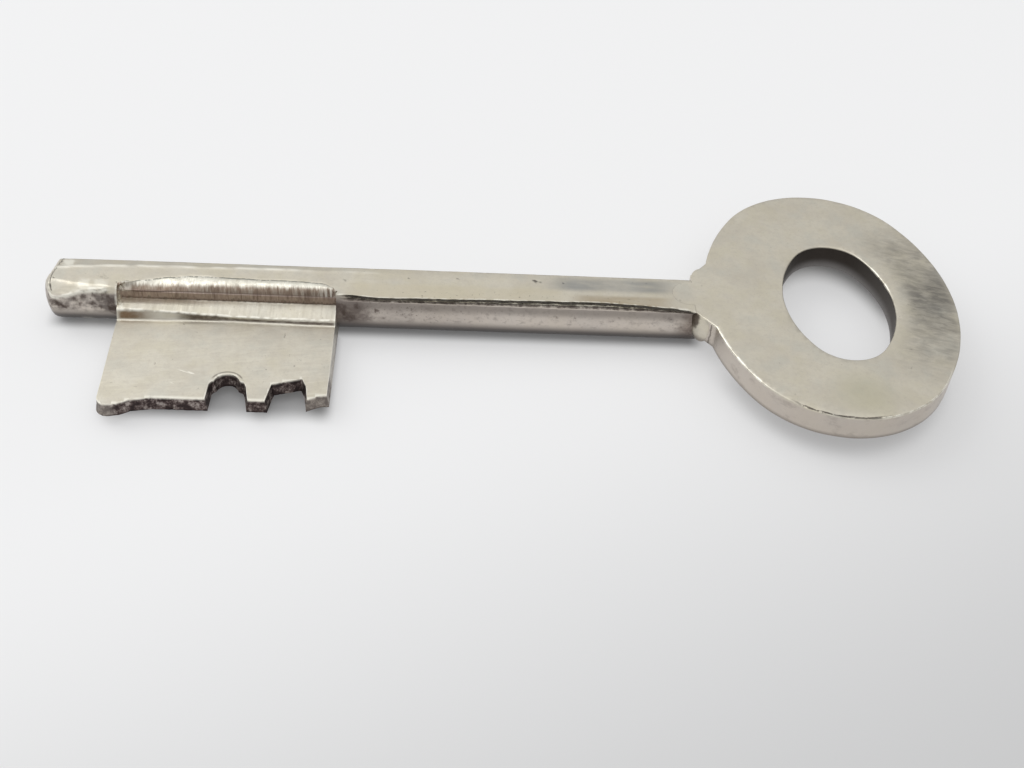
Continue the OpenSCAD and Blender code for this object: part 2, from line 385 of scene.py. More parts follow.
def cut_level(bm, height):
    """Cuts off what is above a height, and closes the cut."""
    cut = bmesh.ops.bisect_plane(
        bm, geom=everything(bm), dist=1e-5, plane_co=(0, 0, height), plane_no=(0, 0, 1), clear_outer=True
    )
    rim = [item for item in cut["geom_cut"] if isinstance(item, bmesh.types.BMEdge)]
    bmesh.ops.holes_fill(bm, edges=rim, sides=0)


def points_of(grown):
    """The points that an extrusion added."""
    return [item for item in grown["geom"] if isinstance(item, bmesh.types.BMVert)]


def sharp_edges(bm, degrees, wanted):
    """The edges that fold more than so many degrees and whose middle is wanted."""
    found = []
    for edge in bm.edges:
        if len(edge.link_faces) == 2 and edge.calc_face_angle() > math.radians(degrees):
            if wanted((edge.verts[0].co + edge.verts[1].co) / 2):
                found.append(edge)
    return found


def round_over(bm, edges, width):
    """Rounds edges with a small bevel of three faces."""
    bmesh.ops.bevel(
        bm, geom=edges, offset=width, offset_type="OFFSET", segments=3, profile=0.5,
        affect="EDGES", clamp_overlap=True, material=-1,
    )


def merge_close(bm, distance):
    """Merges points that lie closer than that, taken in a fixed order."""
    bm.verts.sort(key=lambda vert: vert.co.dot(SORT_BY))
    bmesh.ops.remove_doubles(bm, verts=bm.verts, dist=distance)


def make_object(bm, name):
    """Turns a bmesh into an object of the scene, at the origin."""
    mesh = bpy.data.meshes.new(name)
    bm.to_mesh(mesh)
    bm.free()
    made = bpy.data.objects.new(name, mesh)
    scene.collection.objects.link(made)
    return made


def finish_piece(bm, name, material, node):
    """Makes a bmesh in millimetres a piece in metres, which rides on the key and stands for a CAD node."""
    merge_close(bm, 0.002)
    bmesh.ops.recalc_face_normals(bm, faces=bm.faces)
    bmesh.ops.scale(bm, vec=(MM, MM, MM), verts=bm.verts)
    piece = make_object(bm, name)
    mesh = piece.data
    mesh.polygons.foreach_set("use_smooth", [True] * len(mesh.polygons))
    mesh.set_sharp_from_angle(angle=math.radians(SHARP_FOLD))
    mesh.materials.append(material)
    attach(piece, "root")
    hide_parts(node)
    print(f"{name}: {len(mesh.vertices)} points, {len(mesh.polygons)} faces")


print("arcs are drawn in steps of", ARC_STEP, "mm")

# %% [markdown]
# Wear is worked out point by point from a few plain functions: a smooth step,
# a smooth noise, and a line through a few measured points. The flat of the stem
# and the face of the bow were rubbed together, so both take their wear from one
# function and stay level where they meet.

# %% Helpers for wear


def ramp(value, low, high):
    """0 up to low, 1 from high on, smooth in between."""
    share = min(1.0, max(0.0, (value - low) / (high - low)))
    return share * share * (3 - 2 * share)


def wobble(place, size, seed):
    """Smooth noise from -1 to 1 whose lumps are so many millimetres across."""
    return noise.noise(place / size + Vector((seed * 11.7, seed * 5.3, seed * 2.9)))


def line_through(points, x):
    """The height at x of a smooth line through a few points, given from left to right."""
    if x <= points[0][0]:
        return points[0][1]
    for (x0, y0), (x1, y1) in zip(points, points[1:]):
        if x <= x1:
            return y0 + (y1 - y0) * ramp(x, x0, x1)
    return points[-1][1]


def near(spot, x, other, size, along="y"):
    """1 at a mark and 0 from so many millimetres off, with a ragged edge. A mark has two places."""
    across = spot.y if along == "y" else spot.z
    off = math.hypot(spot.x - x, across - other) / size + 0.45 * wobble(spot, 0.35, 31)
    return 1 - ramp(off, 0.45, 1.0)


def flat_wear(spot):
    """How far rubbing has lowered the key's upper face at a point."""
    flat = Vector((spot.x, spot.y, 0))
    return 0.022 * (1 + wobble(flat, 3.5, 1)) + 0.007 * (1 + wobble(flat, 0.8, 2))


print("rubbing took", round(flat_wear(Vector((5, 0, TOP))), 3), "mm off the middle of the key")

# %% [markdown]
# ## The bow
#
# The bow is stamped from 2.8 mm plate. Its outline is an oval of four arcs, and
# so is the hole's. An oval of arcs is truer to a stamping die than a scaled
# circle, and spinning one vertex round each arc's centre draws it. The neck's
# two shoulders and the round-ended tongue close the outline, the face between
# the two loops is filled, and the plate is extruded down from it.

# %% Draw the bow's outline
OVAL_L, OVAL_W, OVAL_END_R = 25.7, 33.9, 11.0
HOLE_L, HOLE_W, HOLE_END_R = 11.2, 17.2, 4.2
HOLE_OUT, HOLE_SIDE = 0.8, -0.3
NECK_W, SHOULDER_W, NECK_L = 2.9, 4.9, 1.2
TONGUE_W, TONGUE_L = 3.4, 2.1
bow_x = bow_high.x - OVAL_L / 2
hole_x = bow_x + HOLE_OUT
neck_x = bow_x - OVAL_L / 2 - NECK_L
tongue_round_x = neck_x - TONGUE_L + TONGUE_W / 2


def side_radius(length, width, end_r):
    """The radius of an oval's two flatter arcs, where it is length by width with tight arcs at its ends."""
    a, b = length / 2, width / 2
    return (a * a + b * b - 2 * b * end_r) / (2 * (a - end_r))


def oval_arcs(x, y, length, width, end_r, gap_w):
    """An oval's start, at the top of a gap of that half width on its left, and its five arcs clockwise."""
    r = side_radius(length, width, end_r)
    off_x, off_y = r - length / 2, width / 2 - end_r
    meet = math.degrees(math.atan2(off_y, off_x))
    gap = math.degrees(math.asin(gap_w / r))
    start = (x + off_x - math.sqrt(r * r - gap_w * gap_w), y + gap_w, TOP)
    left, far = (x + off_x, y, TOP), (x - off_x, y, TOP)
    back, front = (x, y + off_y, TOP), (x, y - off_y, TOP)
    end = 2 * meet - 180
    return start, [(left, gap - meet), (back, end), (far, -2 * meet), (front, end), (left, gap - meet)]


bow = bmesh.new()
start, arcs = oval_arcs(bow_x, 0, OVAL_L, OVAL_W, OVAL_END_R, SHOULDER_W)
first = last = bow.verts.new(start)
for centre, degrees in arcs:
    last = spin_vertex(bow, last, centre, degrees)
half = TONGUE_W / 2
last = draw_line(bow, last, (neck_x, -NECK_W, TOP), (neck_x, -half, TOP), (tongue_round_x, -half, TOP))
last = spin_vertex(bow, last, (tongue_round_x, 0, TOP), -180)
last = draw_line(bow, last, (neck_x, half, TOP), (neck_x, NECK_W, TOP))
bow.edges.new((last, first))

start, arcs = oval_arcs(hole_x, HOLE_SIDE, HOLE_L, HOLE_W, HOLE_END_R, 0)
last = bow.verts.new(start)
for centre, degrees in arcs:
    last = spin_vertex(bow, last, centre, degrees)
merge_close(bow, 0.01)
print("the bow's outline has", len(bow.edges), "edges")

# %% [markdown]
# The rim of the bow catches the light as one thin bright line, so its edges are
# rounded by only about a tenth of a millimetre. Along the front the rim is
# creased and pitted. The cuts across the plate then give the wear something to
# move: each point sinks by a few hundredths of a millimetre, which is enough to
# make a reflection swim.

# %% Make the bow a worn plate
RIM_ROUND = 0.15
CREASE_FROM, CREASE_TO, CREASE_DEPTH = 26.3, 35.4, 0.09
front_y = -(OVAL_W / 2 - OVAL_END_R)

bmesh.ops.triangle_fill(bow, use_beauty=True, edges=bow.edges[:])
lower = bmesh.ops.extrude_face_region(bow, geom=bow.faces[:])
bmesh.ops.translate(bow, vec=(0, 0, BOW_UNDER - TOP), verts=points_of(lower))
bmesh.ops.recalc_face_normals(bow, faces=bow.faces)
rim = sharp_edges(bow, 60, lambda p: p.x > neck_x + 0.05 and abs(p.z - (TOP + BOW_UNDER) / 2) > 1)
round_over(bow, rim, RIM_ROUND)
slice_across(bow, 0, bow_low.x + 0.3, bow_high.x, 0.6)
slice_across(bow, 1, bow_low.y + 0.3, bow_high.y, 0.6)
slice_across(bow, 2, BOW_UNDER + 0.45, TOP - 0.3, 0.5)
bow.normal_update()
for vert in bow.verts:
    spot = vert.co.copy()
    free = ramp(spot.x, neck_x + 0.2, neck_x + 1.5)
    side_wear = 0.012 + 0.020 * (1 + wobble(spot, 2.6, 1)) + 0.006 * wobble(spot, 0.9, 2)
    out_from_end = math.hypot(spot.x - bow_x, spot.y - front_y) - OVAL_END_R
    creased = ramp(spot.x, CREASE_FROM, CREASE_FROM + 1.5) * ramp(-spot.x, -CREASE_TO, 1.5 - CREASE_TO)
    creased *= ramp(-abs(out_from_end + 0.10), -0.16, -0.06) * (spot.z > TOP - 0.12) * (spot.y < front_y)
    if spot.z > TOP - 0.01:
        vert.co.z -= flat_wear(spot)
    else:
        vert.co -= vert.normal * side_wear * free
    vert.co.z -= CREASE_DEPTH * creased * (0.7 + 0.6 * wobble(spot, 0.5, 8))
print("the bow's mesh has", len(bow.faces), "faces")

# %% [markdown]
# Years of thumbs and of a ring have left a grey smudge on the far half of the
# bow. From close up it is made of soft short strokes, all drawn the same way,
# so it is a stretched noise inside a soft ring.

# %% Nickel of the bow's face
STROKE_TURN, STROKE_STRETCH = -16, (3.0, 1, 1)
SMUDGE_GREY, OLIVE = (0.175, 0.165, 0.150), (0.520, 0.490, 0.355)

plate = nickel("bow_nickel", -24, (5, 1, 1), clouds=0.42, pits=0.35)
facing_up = plate.z.between(TOP - 0.20, TOP - 0.08)
far_half = plate.x.between(35.5, 42.0) * plate.y.between(13.8, 8.0) * plate.y.between(-14.5, -5.0)
ring = plate.oval(bow_x, 0, OVAL_L / 2, OVAL_W / 2).within(0.47, 0.88, 0.22)
blotch = plate.speckle(0.30, detail=2, rough=0.5, seed=21, warp=0.5).between(0.36, 0.62)
stroke = plate.speckle(1.8, detail=4, rough=0.65, stretch=STROKE_STRETCH, turn=STROKE_TURN, seed=22, warp=0.5)
core = plate.reach(43.2, 0.8).between(6.0, 0.5)
thick = 0.16 + 0.24 * blotch + 0.30 * stroke.between(0.36, 0.64) + 0.36 * core
smudge = ring * far_half * facing_up * thick
plate.lay(smudge * 0.86, SMUDGE_GREY)
plate.lay(plate.reach(33.8, -13.6).between(4.5, 0.5) * facing_up * 0.55, OLIVE)
scratched = plate.reach(23.8, 2.6).between(1.9, 0.8) * stroke.between(0.50, 0.60) * facing_up
plate.lay(scratched * 0.30, DULL_NICKEL)
print("the smudge's strokes are turned", STROKE_TURN, "degrees")

# %% [markdown]
# The bow's side is a little pink and mottled, with a painted shade towards its underside. The hole's wall is
# nearly black, and lighter along its lower edge, where a painted reflection of the paper lies. The rim of the
# face is creased in front, and a painted highlight lies on it in beads.

# %% Nickel of the bow's side, its hole and its rim, with painted shade, reflection and highlights
SIDE_DIRT, BOW_UNDER_SHADE = (0.330, 0.290, 0.255), (0.200, 0.175, 0.155)
WALL_BLACK, WALL_GREY, WALL_PAPER_REFLECTION = (0.036, 0.029, 0.025), (0.110, 0.100, 0.092), (0.240, 0.230, 0.225)

side = plate.z.between(TOP - 0.10, TOP - 0.35)
plate.lay(side * 0.60, PINK_NICKEL)
# Painted shade: the bow's side darkens towards its underside.
plate.lay(plate.z.between(BOW_UNDER + 0.60, BOW_UNDER + 0.05) * 0.70, BOW_UNDER_SHADE)
mottle = plate.speckle(0.8, detail=5, rough=0.7, stretch=(1.6, 1.6, 1), seed=25)
plate.lay(side * mottle.between(0.50, 0.70) * 0.45, SIDE_DIRT)
lump_end = (plate.x + 0.5 * (mottle - 0.5)).within(20.18, 20.24, 0.07)
plate.lay(lump_end * plate.y.between(-3.6, -4.2) * side * 0.60, SOOT)

in_hole = plate.oval(hole_x, HOLE_SIDE, HOLE_L / 2 + 0.5, HOLE_W / 2 + 0.5).between(1.08, 1.0)
dark_wall = in_hole * plate.z.between(TOP - 0.10, TOP - 0.22)
wall_tone = plate.mix(plate.x.between(36.0, 39.5) * 0.65, WALL_BLACK, WALL_GREY)
# Painted reflection of the paper: the hole's wall grows lighter towards its lower edge.
wall_tone = plate.mix(plate.z.between(BOW_UNDER + 1.4, BOW_UNDER), wall_tone, WALL_PAPER_REFLECTION)
plate.lay(dark_wall * 0.96, wall_tone)

end_reach = plate.reach(bow_x, front_y)
wander = plate.speckle(0.9, detail=3, rough=0.6, seed=23) - 0.5
crease = (end_reach + 0.22 * wander).within(OVAL_END_R - 0.24, OVAL_END_R - 0.10, 0.06)
crease *= plate.x.within(28.0, 34.5, 2.0) * plate.y.between(-14.0, -14.6)
broken = plate.speckle(1.4, detail=4, rough=0.7, seed=24).between(0.34, 0.50)
plate.lay(crease * broken * facing_up * 0.85, SOOT)

# Painted highlights: bright beads along the front rim, the end's rim and the hole's far rim.
side_r = side_radius(OVAL_L, OVAL_W, OVAL_END_R)
side_glint = plate.reach(bow_x + side_r - OVAL_L / 2, 0).within(side_r - 0.20, side_r + 0.1, 0.07)
side_glint *= plate.y.within(-12.0, -5.6, 1.6) * plate.x.between(29.0, 25.0)
end_glint = end_reach.within(OVAL_END_R - 0.12, OVAL_END_R + 0.1, 0.06)
end_glint *= plate.x.between(33.5, 36.0) * plate.y.between(-9.0, -12.0) * 0.8
hole_r = side_radius(HOLE_L, HOLE_W, HOLE_END_R)
hole_glint = plate.reach(hole_x - hole_r + HOLE_L / 2, HOLE_SIDE).within(hole_r - 0.05, hole_r + 0.16, 0.08)
hole_glint *= plate.y.within(2.0, 4.6, 1.0) * plate.x.between(36.0, 37.5)
glint = plate.larger(plate.larger(side_glint, end_glint), hole_glint)
beads = plate.speckle(1.3, detail=4, rough=0.7, seed=27).between(0.38, 0.54)
plate.lay(glint * beads * plate.z.between(TOP - 0.30, TOP - 0.16) * 0.9, BRIGHT)

plate.rough += 0.14 * smudge + 0.25 * dark_wall
finish_piece(bow, "bow_plate", plate.metal(), "bow")

# %% [markdown]
# ## The stem
#
# The stem is a round bar, so half its outline is drawn once and spun about its
# own axis: a shallow arc for the bulged end, a small arc for its edge, and then
# steps along the side. A cylinder would be quicker, but its end would be flat.

# %% Spin the bar
TIP_BULGE, TIP_EDGE_R = 1.1, 0.8
BAR_STEP = 0.26
SHELF_EDGE = 1.0
bulge_r = (STEM_R**2 + TIP_BULGE**2) / (2 * TIP_BULGE)
edge_reach = bulge_r - TIP_EDGE_R
edge_x = TIP_X + bulge_r - math.sqrt(edge_reach**2 - (STEM_R - TIP_EDGE_R) ** 2)
bulge_turn = math.degrees(math.asin((STEM_R - TIP_EDGE_R) / edge_reach))

bar = bmesh.new()
vert = bar.verts.new((TIP_X, 0, 0))
vert = spin_vertex(bar, vert, (TIP_X + bulge_r, 0, 0), -bulge_turn)
vert = spin_vertex(bar, vert, (edge_x, STEM_R - TIP_EDGE_R, 0), bulge_turn - 90)
steps = round((stem_high.x - SHELF_EDGE - edge_x) / BAR_STEP)
side_step = (stem_high.x - SHELF_EDGE - edge_x) / steps
vert = draw_line(bar, vert, *[(edge_x + side_step * (i + 1), STEM_R, 0) for i in range(steps)])
vert = draw_line(bar, vert, (stem_high.x, STEM_R - SHELF_EDGE, 0), (stem_high.x, 0, 0))
bmesh.ops.spin(
    bar, geom=everything(bar), cent=(0, 0, 0), axis=(1, 0, 0), angle=math.tau, steps=144,
    use_merge=True, use_duplicate=False,
)
merge_close(bar, 0.001)
bmesh.ops.translate(bar, vec=(0, 0, STEM_R), verts=bar.verts)
print("the bar has", len(bar.faces), "faces")

# %% [markdown]
# The flat was ground along the whole bar, so one cut by a plane makes it. The
# seat for the bit and the shelf for the bow could be cut with a Boolean, but
# both have plain walls. Two cuts close together mark each wall, and the points
# between the walls are pushed back to the seat's own plane.

# %% Cut the flat and press in the seats
GAP = 0.02

cut_level(bar, TOP)
slice_across(bar, 1, -1.9, 2.0, 0.19)
slice_across(bar, 0, TIP_X + 0.6, edge_x, 0.12)
slice_across(bar, 0, edge_x + side_step, stem_high.x - SHELF_EDGE, side_step)
slice_across(bar, 2, 4.38, TOP - 0.04, 0.06)
for place in (bit_low.x, bit_high.x, neck_x):
    slice_at(bar, 0, place - GAP)
    slice_at(bar, 0, place + GAP)
for vert in bar.verts:
    spot = vert.co
    if bit_low.x < spot.x < bit_high.x:
        spot.y = max(spot.y, WALL_Y)
    if spot.x > neck_x:
        spot.z = min(spot.z, BOW_UNDER)
print("the seated bar has", len(bar.faces), "faces")

# %% [markdown]
# The tongue of the bow lies in a pocket in the stem. The pocket follows the
# tongue's round end, which no single plane can cut, so here a Boolean modifier
# is the clear choice. Its cutter is the tongue's own outline, a hair wider, and
# the result is made the mesh at once so that nothing is left live on the piece.

# %% Sink the tongue's pocket
SEAM = 0.012


def tongue_cutter():
    """A solid with the tongue's outline, a hair wider, that sticks out of the stem's top and end."""
    bm = bmesh.new()
    half = TONGUE_W / 2 + SEAM
    start = bm.verts.new((neck_x + 1, -half, BOW_UNDER - SEAM))
    last = draw_line(bm, start, (tongue_round_x, -half, BOW_UNDER - SEAM))
    last = spin_vertex(bm, last, (tongue_round_x, 0, BOW_UNDER - SEAM), -180)
    last = draw_line(bm, last, (neck_x + 1, half, BOW_UNDER - SEAM))
    bm.edges.new((last, start))
    bmesh.ops.contextual_create(bm, geom=bm.edges[:])
    raised = bmesh.ops.extrude_face_region(bm, geom=bm.faces[:])
    bmesh.ops.translate(bm, vec=(0, 0, TOP - BOW_UNDER + 1), verts=points_of(raised))
    bmesh.ops.recalc_face_normals(bm, faces=bm.faces)
    return bm


def cut_away(bm, cutter):
    """Takes the cutter's shape out of a mesh, and returns what is left as a bmesh."""
    kept, tool = make_object(bm, "cut"), make_object(cutter, "cutter")
    boolean = kept.modifiers.new("pocket", "BOOLEAN")
    boolean.operation = "DIFFERENCE"
    boolean.solver = "EXACT"
    boolean.object = tool
    bpy.context.view_layer.update()
    left = bmesh.new()
    left.from_object(kept, bpy.context.evaluated_depsgraph_get())
    for done in (kept, tool):
        bpy.data.objects.remove(done)
    return left


merge_close(bar, 0.001)
bmesh.ops.recalc_face_normals(bar, faces=bar.faces)
bar = cut_away(bar, tongue_cutter())
print("the stem's mesh has", len(bar.faces), "faces")

# %% [markdown]
# The flat ends in front in a thin lip of metal, which waves a little and carries a painted highlight, and
# under the lip run two grooves with a ridge between, painted dark as shade. The lip is old: it was turned
# over by wear. The tip is filed off in front and rounded at its end, and the flat's back edge is rubbed down,
# with a painted highlight along its ridge. Each point also notes its dirt and groove shade, and its painted
# highlight, under two names that the finish reads.

# %% Where the stem is worn
FLAT_EDGE_Y = math.sqrt(STEM_R**2 - (TOP - STEM_R) ** 2)
LIP = [
    (-16.0, -2.05), (-12.5, -2.34), (-6.5, -2.22), (-1.0, -2.08), (5.0, -1.96), (9.0, -1.90), (13.0, -2.08),
    (16.0, -2.34), (18.0, -2.60), (18.8, -2.92),
]
GROOVES = [(0.00, 0.00), (0.08, 0.19), (0.20, 0.17), (0.31, 0.05), (0.42, 0.15), (0.52, 0.11), (0.68, 0.00)]
GROOVE_DEPTH = 0.19
FILED = [
    (-44.7, -1.30), (-44.0, -1.33), (-43.2, -1.43), (-42.4, -1.60), (-41.6, -1.75), (-40.8, -1.80),
    (-39.7, -1.80), (-38.9, -2.00), (-38.3, -2.30),
]
FILED_SLOPE, FILED_SOFT = 0.95, 0.5
FLAT_END = [(-2.6, -44.50), (-1.8, -44.67), (-1.0, -44.78), (-0.2, -44.66), (0.7, -44.46), (1.9, -44.20)]
RIDGE = [
    (-44.0, 0.60), (-43.0, 0.78), (-41.5, 0.92), (-39.5, 1.10), (-36.0, 1.17), (-32.0, 1.27), (-24.0, 1.40),
]
RIDGE_SLOPE = 0.15
NECK_LEAN, NECK_MID_Z = 0.35, 3.75
SIDE_MARKS = [
    (-44.4, 3.40, 0.70), (-43.8, 3.25, 0.60), (-43.2, 3.10, 0.50), (-42.3, 4.05, 0.50), (-41.4, 4.30, 0.50),
    (-40.4, 4.50, 0.55), (-39.4, 4.60, 0.60), (-38.7, 3.50, 0.85), (-38.5, 2.80, 0.80), (-40.6, 3.60, 0.45),
    (-39.9, 3.20, 0.40), (-41.8, 3.50, 0.40), (-16.4, 3.90, 1.00), (-15.6, 3.00, 0.90),
    (-14.9, 4.20, 0.45), (-12.9, 3.80, 0.30), (4.9, 3.86, 0.26), (6.8, 3.80, 0.18), (11.3, 4.00, 0.18),
]
TOP_MARKS = [
    (-39.8, -0.7, 0.90, 0.35), (-37.3, -1.40, 0.50, 0.6), (-16.2, 0.1, 0.20, 0.8),
    (-9.9, 0.8, 0.22, 0.7), (-5.0, 1.0, 0.18, 0.7), (2.8, 1.0, 0.32, 0.8), (3.3, 0.9, 0.22, 0.8),
]
HIGHLIGHT_SPOTS = [(-41.4, -1.75, 0.9, 0.6), (-39.9, -1.6, 0.9, 0.5), (-43.5, 1.35, 0.75, 1.0)]
print("the flat is", round(2 * FLAT_EDGE_Y, 2), "mm wide")


def below_lip(spot):
    """How far a point on the bar's front lies below the edge of the flat, along the bar's round side."""
    angle = math.atan2(-spot.y, spot.z - STEM_R)
    return STEM_R * (angle - math.atan2(FLAT_EDGE_Y, TOP - STEM_R))


def square_to_crack(x, z):
    """How far along the bar a place is, measured square to the leaning crack at the neck."""
    return x - NECK_LEAN * (z - NECK_MID_Z)


def strongest(spot, marks):
    """The strength of the strongest of some marks on the flat, at a point."""
    return max(dark * near(spot, x, y, size) for x, y, size, dark in marks)


# %% [markdown]
# A bead of brazing metal lies on the stem along the bit. The stem's surface has
# to stay below it, so the bead's section is settled here: a smooth curve from
# its wandering back line, over the crown, down to the edge of the seat. At the
# left end the crown is rubbed away and the curve turns into a slope.

# %% The bead's section
BEAD_BACK = [
    (-38.2, -1.85), (-37.5, -1.50), (-36.0, -1.02), (-33.1, -0.42), (-31.1, -0.15), (-27.2, -0.24),
    (-23.8, -0.36), (-20.6, -0.38), (-18.4, -0.55), (-17.3, -1.10), (-16.9, -1.70),
]
BEAD_PULL = [(-38.2, 4.60), (-35.0, 4.80), (-32.0, 5.22), (-28.0, 5.50), (-18.0, 5.62)]
PULL_Y, BEAD_RISE = -1.58, 0.03
BEAD_CLEAR = 0.15
SECTION_STEPS = 24


def bead_point(x, share):
    """The place in Y and Z on the bead's section at x, from its back line at 0 to its foot at 1."""
    back = line_through(BEAD_BACK, x)
    pull = (min(back, PULL_Y), line_through(BEAD_PULL, x))
    points = ((back, TOP + BEAD_RISE), pull, (WALL_Y - 0.005, BEAD_FOOT))
    weights = ((1 - share) ** 2, 2 * share * (1 - share), share**2)
    return [sum(w * p[i] for w, p in zip(weights, points)) for i in (0, 1)]


def bead_height(x, y):
    """The height of the bead above a place of the stem."""
    section = (bead_point(x, i / SECTION_STEPS) for i in range(SECTION_STEPS + 1))
    return next((z for place, z in section if place <= y), BEAD_FOOT)


print("the bead's crown is pulled up at y =", PULL_Y, "mm")

# %% [markdown]
# Each kind of wear is a function of its own, which takes a point of the mesh,
# the spot where it started and the place that it moves to. All marks are put
# where the spot was, so that one kind of wear doesn't drag another along.

# %% Kinds of wear on the bar
dirt_and_groove_shade = bar.verts.layers.float.new("dirt_and_groove_shade")
painted_highlight = bar.verts.layers.float.new("painted_highlight")


def press_grooves(vert, spot, new, strength):
    """Waves the lip along the front of the flat, presses the two grooves in below it and notes their painted
    shade, and paints a highlight along the lip.
    """
    drop = below_lip(spot) + 0.05 * wobble(spot, 0.7, 3)
    groove = line_through(GROOVES, drop) * (1 + 0.4 * wobble(spot, 0.4, 4)) * strength
    new -= Vector((0, spot.y, spot.z - STEM_R)).normalized() * groove
    at_edge = ramp(-abs(drop), -0.7, -0.1)
    jagged = 0.05 * wobble(spot, 0.5, 5) * ramp(-abs(drop), -0.4, -0.05)
    new.y += ((line_through(LIP, spot.x) + FLAT_EDGE_Y) * at_edge + jagged) * strength
    # The groove's depth becomes painted shade in the grooves.
    vert[dirt_and_groove_shade] = min(1.0, groove / GROOVE_DEPTH * 1.15)
    on_lip = ramp(-abs(below_lip(spot) + 0.02), -0.10, -0.03)
    vert[painted_highlight] = on_lip * ramp(wobble(spot, 0.5, 6), -0.35, 0.15)


def rub_ridge(vert, spot, new, past_ridge, on_flat):
    """Rubs the flat's back edge down, most at the tip, and paints a highlight along the ridge."""
    worn = ramp(-spot.x, 8, 24)
    new.z -= RIDGE_SLOPE * max(0.0, past_ridge) * (0.35 + 0.65 * worn)
    new.z += 0.03 * ramp(-abs(past_ridge), -0.25, -0.05) * worn * on_flat
    ridge_highlight = ramp(-abs(past_ridge), -0.24, -0.09) * ramp(wobble(spot, 1.6, 8), -0.55, 0.05)
    vert[painted_highlight] = max(vert[painted_highlight], ridge_highlight * worn * on_flat)


def file_tip(vert, spot, new):
    """Files a facet along the front of the tip, rounds the flat's end with a dark line at its edge, and
    paints highlights on the facet's rim and a few spots.
    """
    past = max(0.0, line_through(FILED, spot.x) + 0.04 * wobble(spot, 0.5, 9) - spot.y)
    facet = TOP - 0.01 - FILED_SLOPE * past**2 / (past + FILED_SOFT) + 0.03 * wobble(spot, 0.6, 12)
    rim = ramp(-abs(facet - new.z), -0.20, -0.06) * ramp(past, 0.25, 0.45) * ramp(-spot.y, 1.9, 2.1)
    new.z = min(new.z, facet)
    rim *= ramp(wobble(spot, 0.5, 13), -0.5, 0.0)
    vert[painted_highlight] = max(vert[painted_highlight], rim, strongest(spot, HIGHLIGHT_SPOTS))
    past_end = line_through(FLAT_END, spot.y) + 0.05 * wobble(spot, 0.4, 10) - spot.x
    if past_end > 0 and spot.z > STEM_R:
        new.z = min(new.z, TOP - 0.04 - 0.40 * past_end - 0.9 * past_end**2)
    end_line = ramp(-abs(past_end), -0.13, -0.03) * ramp(spot.y, -3.0, -2.4)
    vert[dirt_and_groove_shade] = max(vert[dirt_and_groove_shade], 0.8 * end_line * (spot.z > TOP - 0.4))


def stain_side(vert, spot):
    """Notes the dirt on the bar's front side: its marks, and the crack at the neck."""
    dark = sum(near(spot, x, z, size, "z") for x, z, size in SIDE_MARKS)
    at_neck = ramp(square_to_crack(spot.x, spot.z), 18.30, 18.62) * (spot.x < neck_x)
    vert[dirt_and_groove_shade] = min(1.0, max(vert[dirt_and_groove_shade], 0.62 * dark, 0.45 * at_neck))


print("the grooves are", GROOVE_DEPTH, "mm deep")

# %% [markdown]
# One pass over the points decides which kinds of wear each of them takes. A
# stack of Displace modifiers could do part of it, but the marks were measured
# one by one on the key, and here each point moves once and for good. Under the
# bead the bar is lowered a little, so that it can't show through.

# %% Wear the stem
bar.normal_update()
for vert in bar.verts:
    spot = vert.co
    new = spot.copy()
    from_axis = math.hypot(spot.y, spot.z - STEM_R)
    on_flat = spot.z > TOP - 0.001
    behind_bit = ramp(spot.x, bit_high.x + 0.1, bit_high.x + 1.6) * (spot.x < neck_x)
    if spot.x > bow_low.x - 0.4:
        behind_bit *= ramp(-spot.y, TONGUE_W / 2, TONGUE_W / 2 + 0.3)
    if behind_bit and spot.y < 0 and from_axis > 1:
        press_grooves(vert, spot, new, behind_bit)
    if on_flat:
        new.z -= flat_wear(spot)
        vert[dirt_and_groove_shade] = max(vert[dirt_and_groove_shade], strongest(spot, TOP_MARKS))
    elif from_axis > STEM_R - 0.05 and spot.z > 0.6:
        new -= vert.normal * (0.010 + 0.014 * wobble(spot, 1.4, 6) + 0.012 * wobble(spot, 0.4, 7))
    past_ridge = spot.y - line_through(RIDGE, spot.x) - 0.05 * wobble(spot, 1.5, 7)
    if past_ridge > -0.3 and spot.z > STEM_R and spot.x < neck_x:
        rub_ridge(vert, spot, new, past_ridge, on_flat)
    if spot.x < bit_low.x:
        file_tip(vert, spot, new)
    if spot.y < -1.0 and spot.z < TOP - 0.15:
        stain_side(vert, spot)
    # Painted highlight along the seat's left edge.
    if abs(spot.x - bit_low.x) < 0.15 and spot.y < WALL_Y + 0.1 and spot.z > 3.4:
        vert[painted_highlight] = 0.35 + 0.6 * ramp(wobble(spot, 0.3, 32), -0.4, 0.3)
    if bit_low.x < spot.x < bit_high.x and WALL_Y - 0.1 < spot.y < line_through(BEAD_BACK, spot.x):
        new.z = min(new.z, bead_height(spot.x, spot.y) - BEAD_CLEAR)
    vert.co = new
print("points with dirt in them:", sum(vert[dirt_and_groove_shade] > 0.5 for vert in bar.verts))

# %% [markdown]
# The finish of the stem reads those two names. It adds what follows places
# rather than points: a blue-grey streak along the back of the flat near the
# neck, a brown stain at its front edge, the pinkish side, and the brown wall
# behind the bit, streaked from top to bottom by the file.

# %% Nickel of the stem


def scorch(plate, mask, brown):
    """Lays a brown tarnish where mask is 1, and returns its file marks from top to bottom."""
    marks = plate.speckle(3.8, detail=4, rough=0.7, stretch=(1, 8, 8), turn=5, seed=14)
    patch = plate.speckle(0.42, detail=4, rough=0.65, seed=15)
    brown = plate.mix(patch.between(0.42, 0.62) * 0.6, brown, tuple(0.7 * c for c in brown))
    plate.lay(mask * (0.78 + 0.20 * marks.between(0.64, 0.42)), brown)
    plate.lay(mask * marks.between(0.56, 0.76) * 0.45, PALE_BROWN)
    plate.lay(mask * marks.between(0.46, 0.30) * 0.30, SOOT)
    return marks


BLUE_GREY, FLAT_STAIN, GOLD = (0.270, 0.275, 0.275), (0.400, 0.325, 0.220), (0.610, 0.545, 0.400)

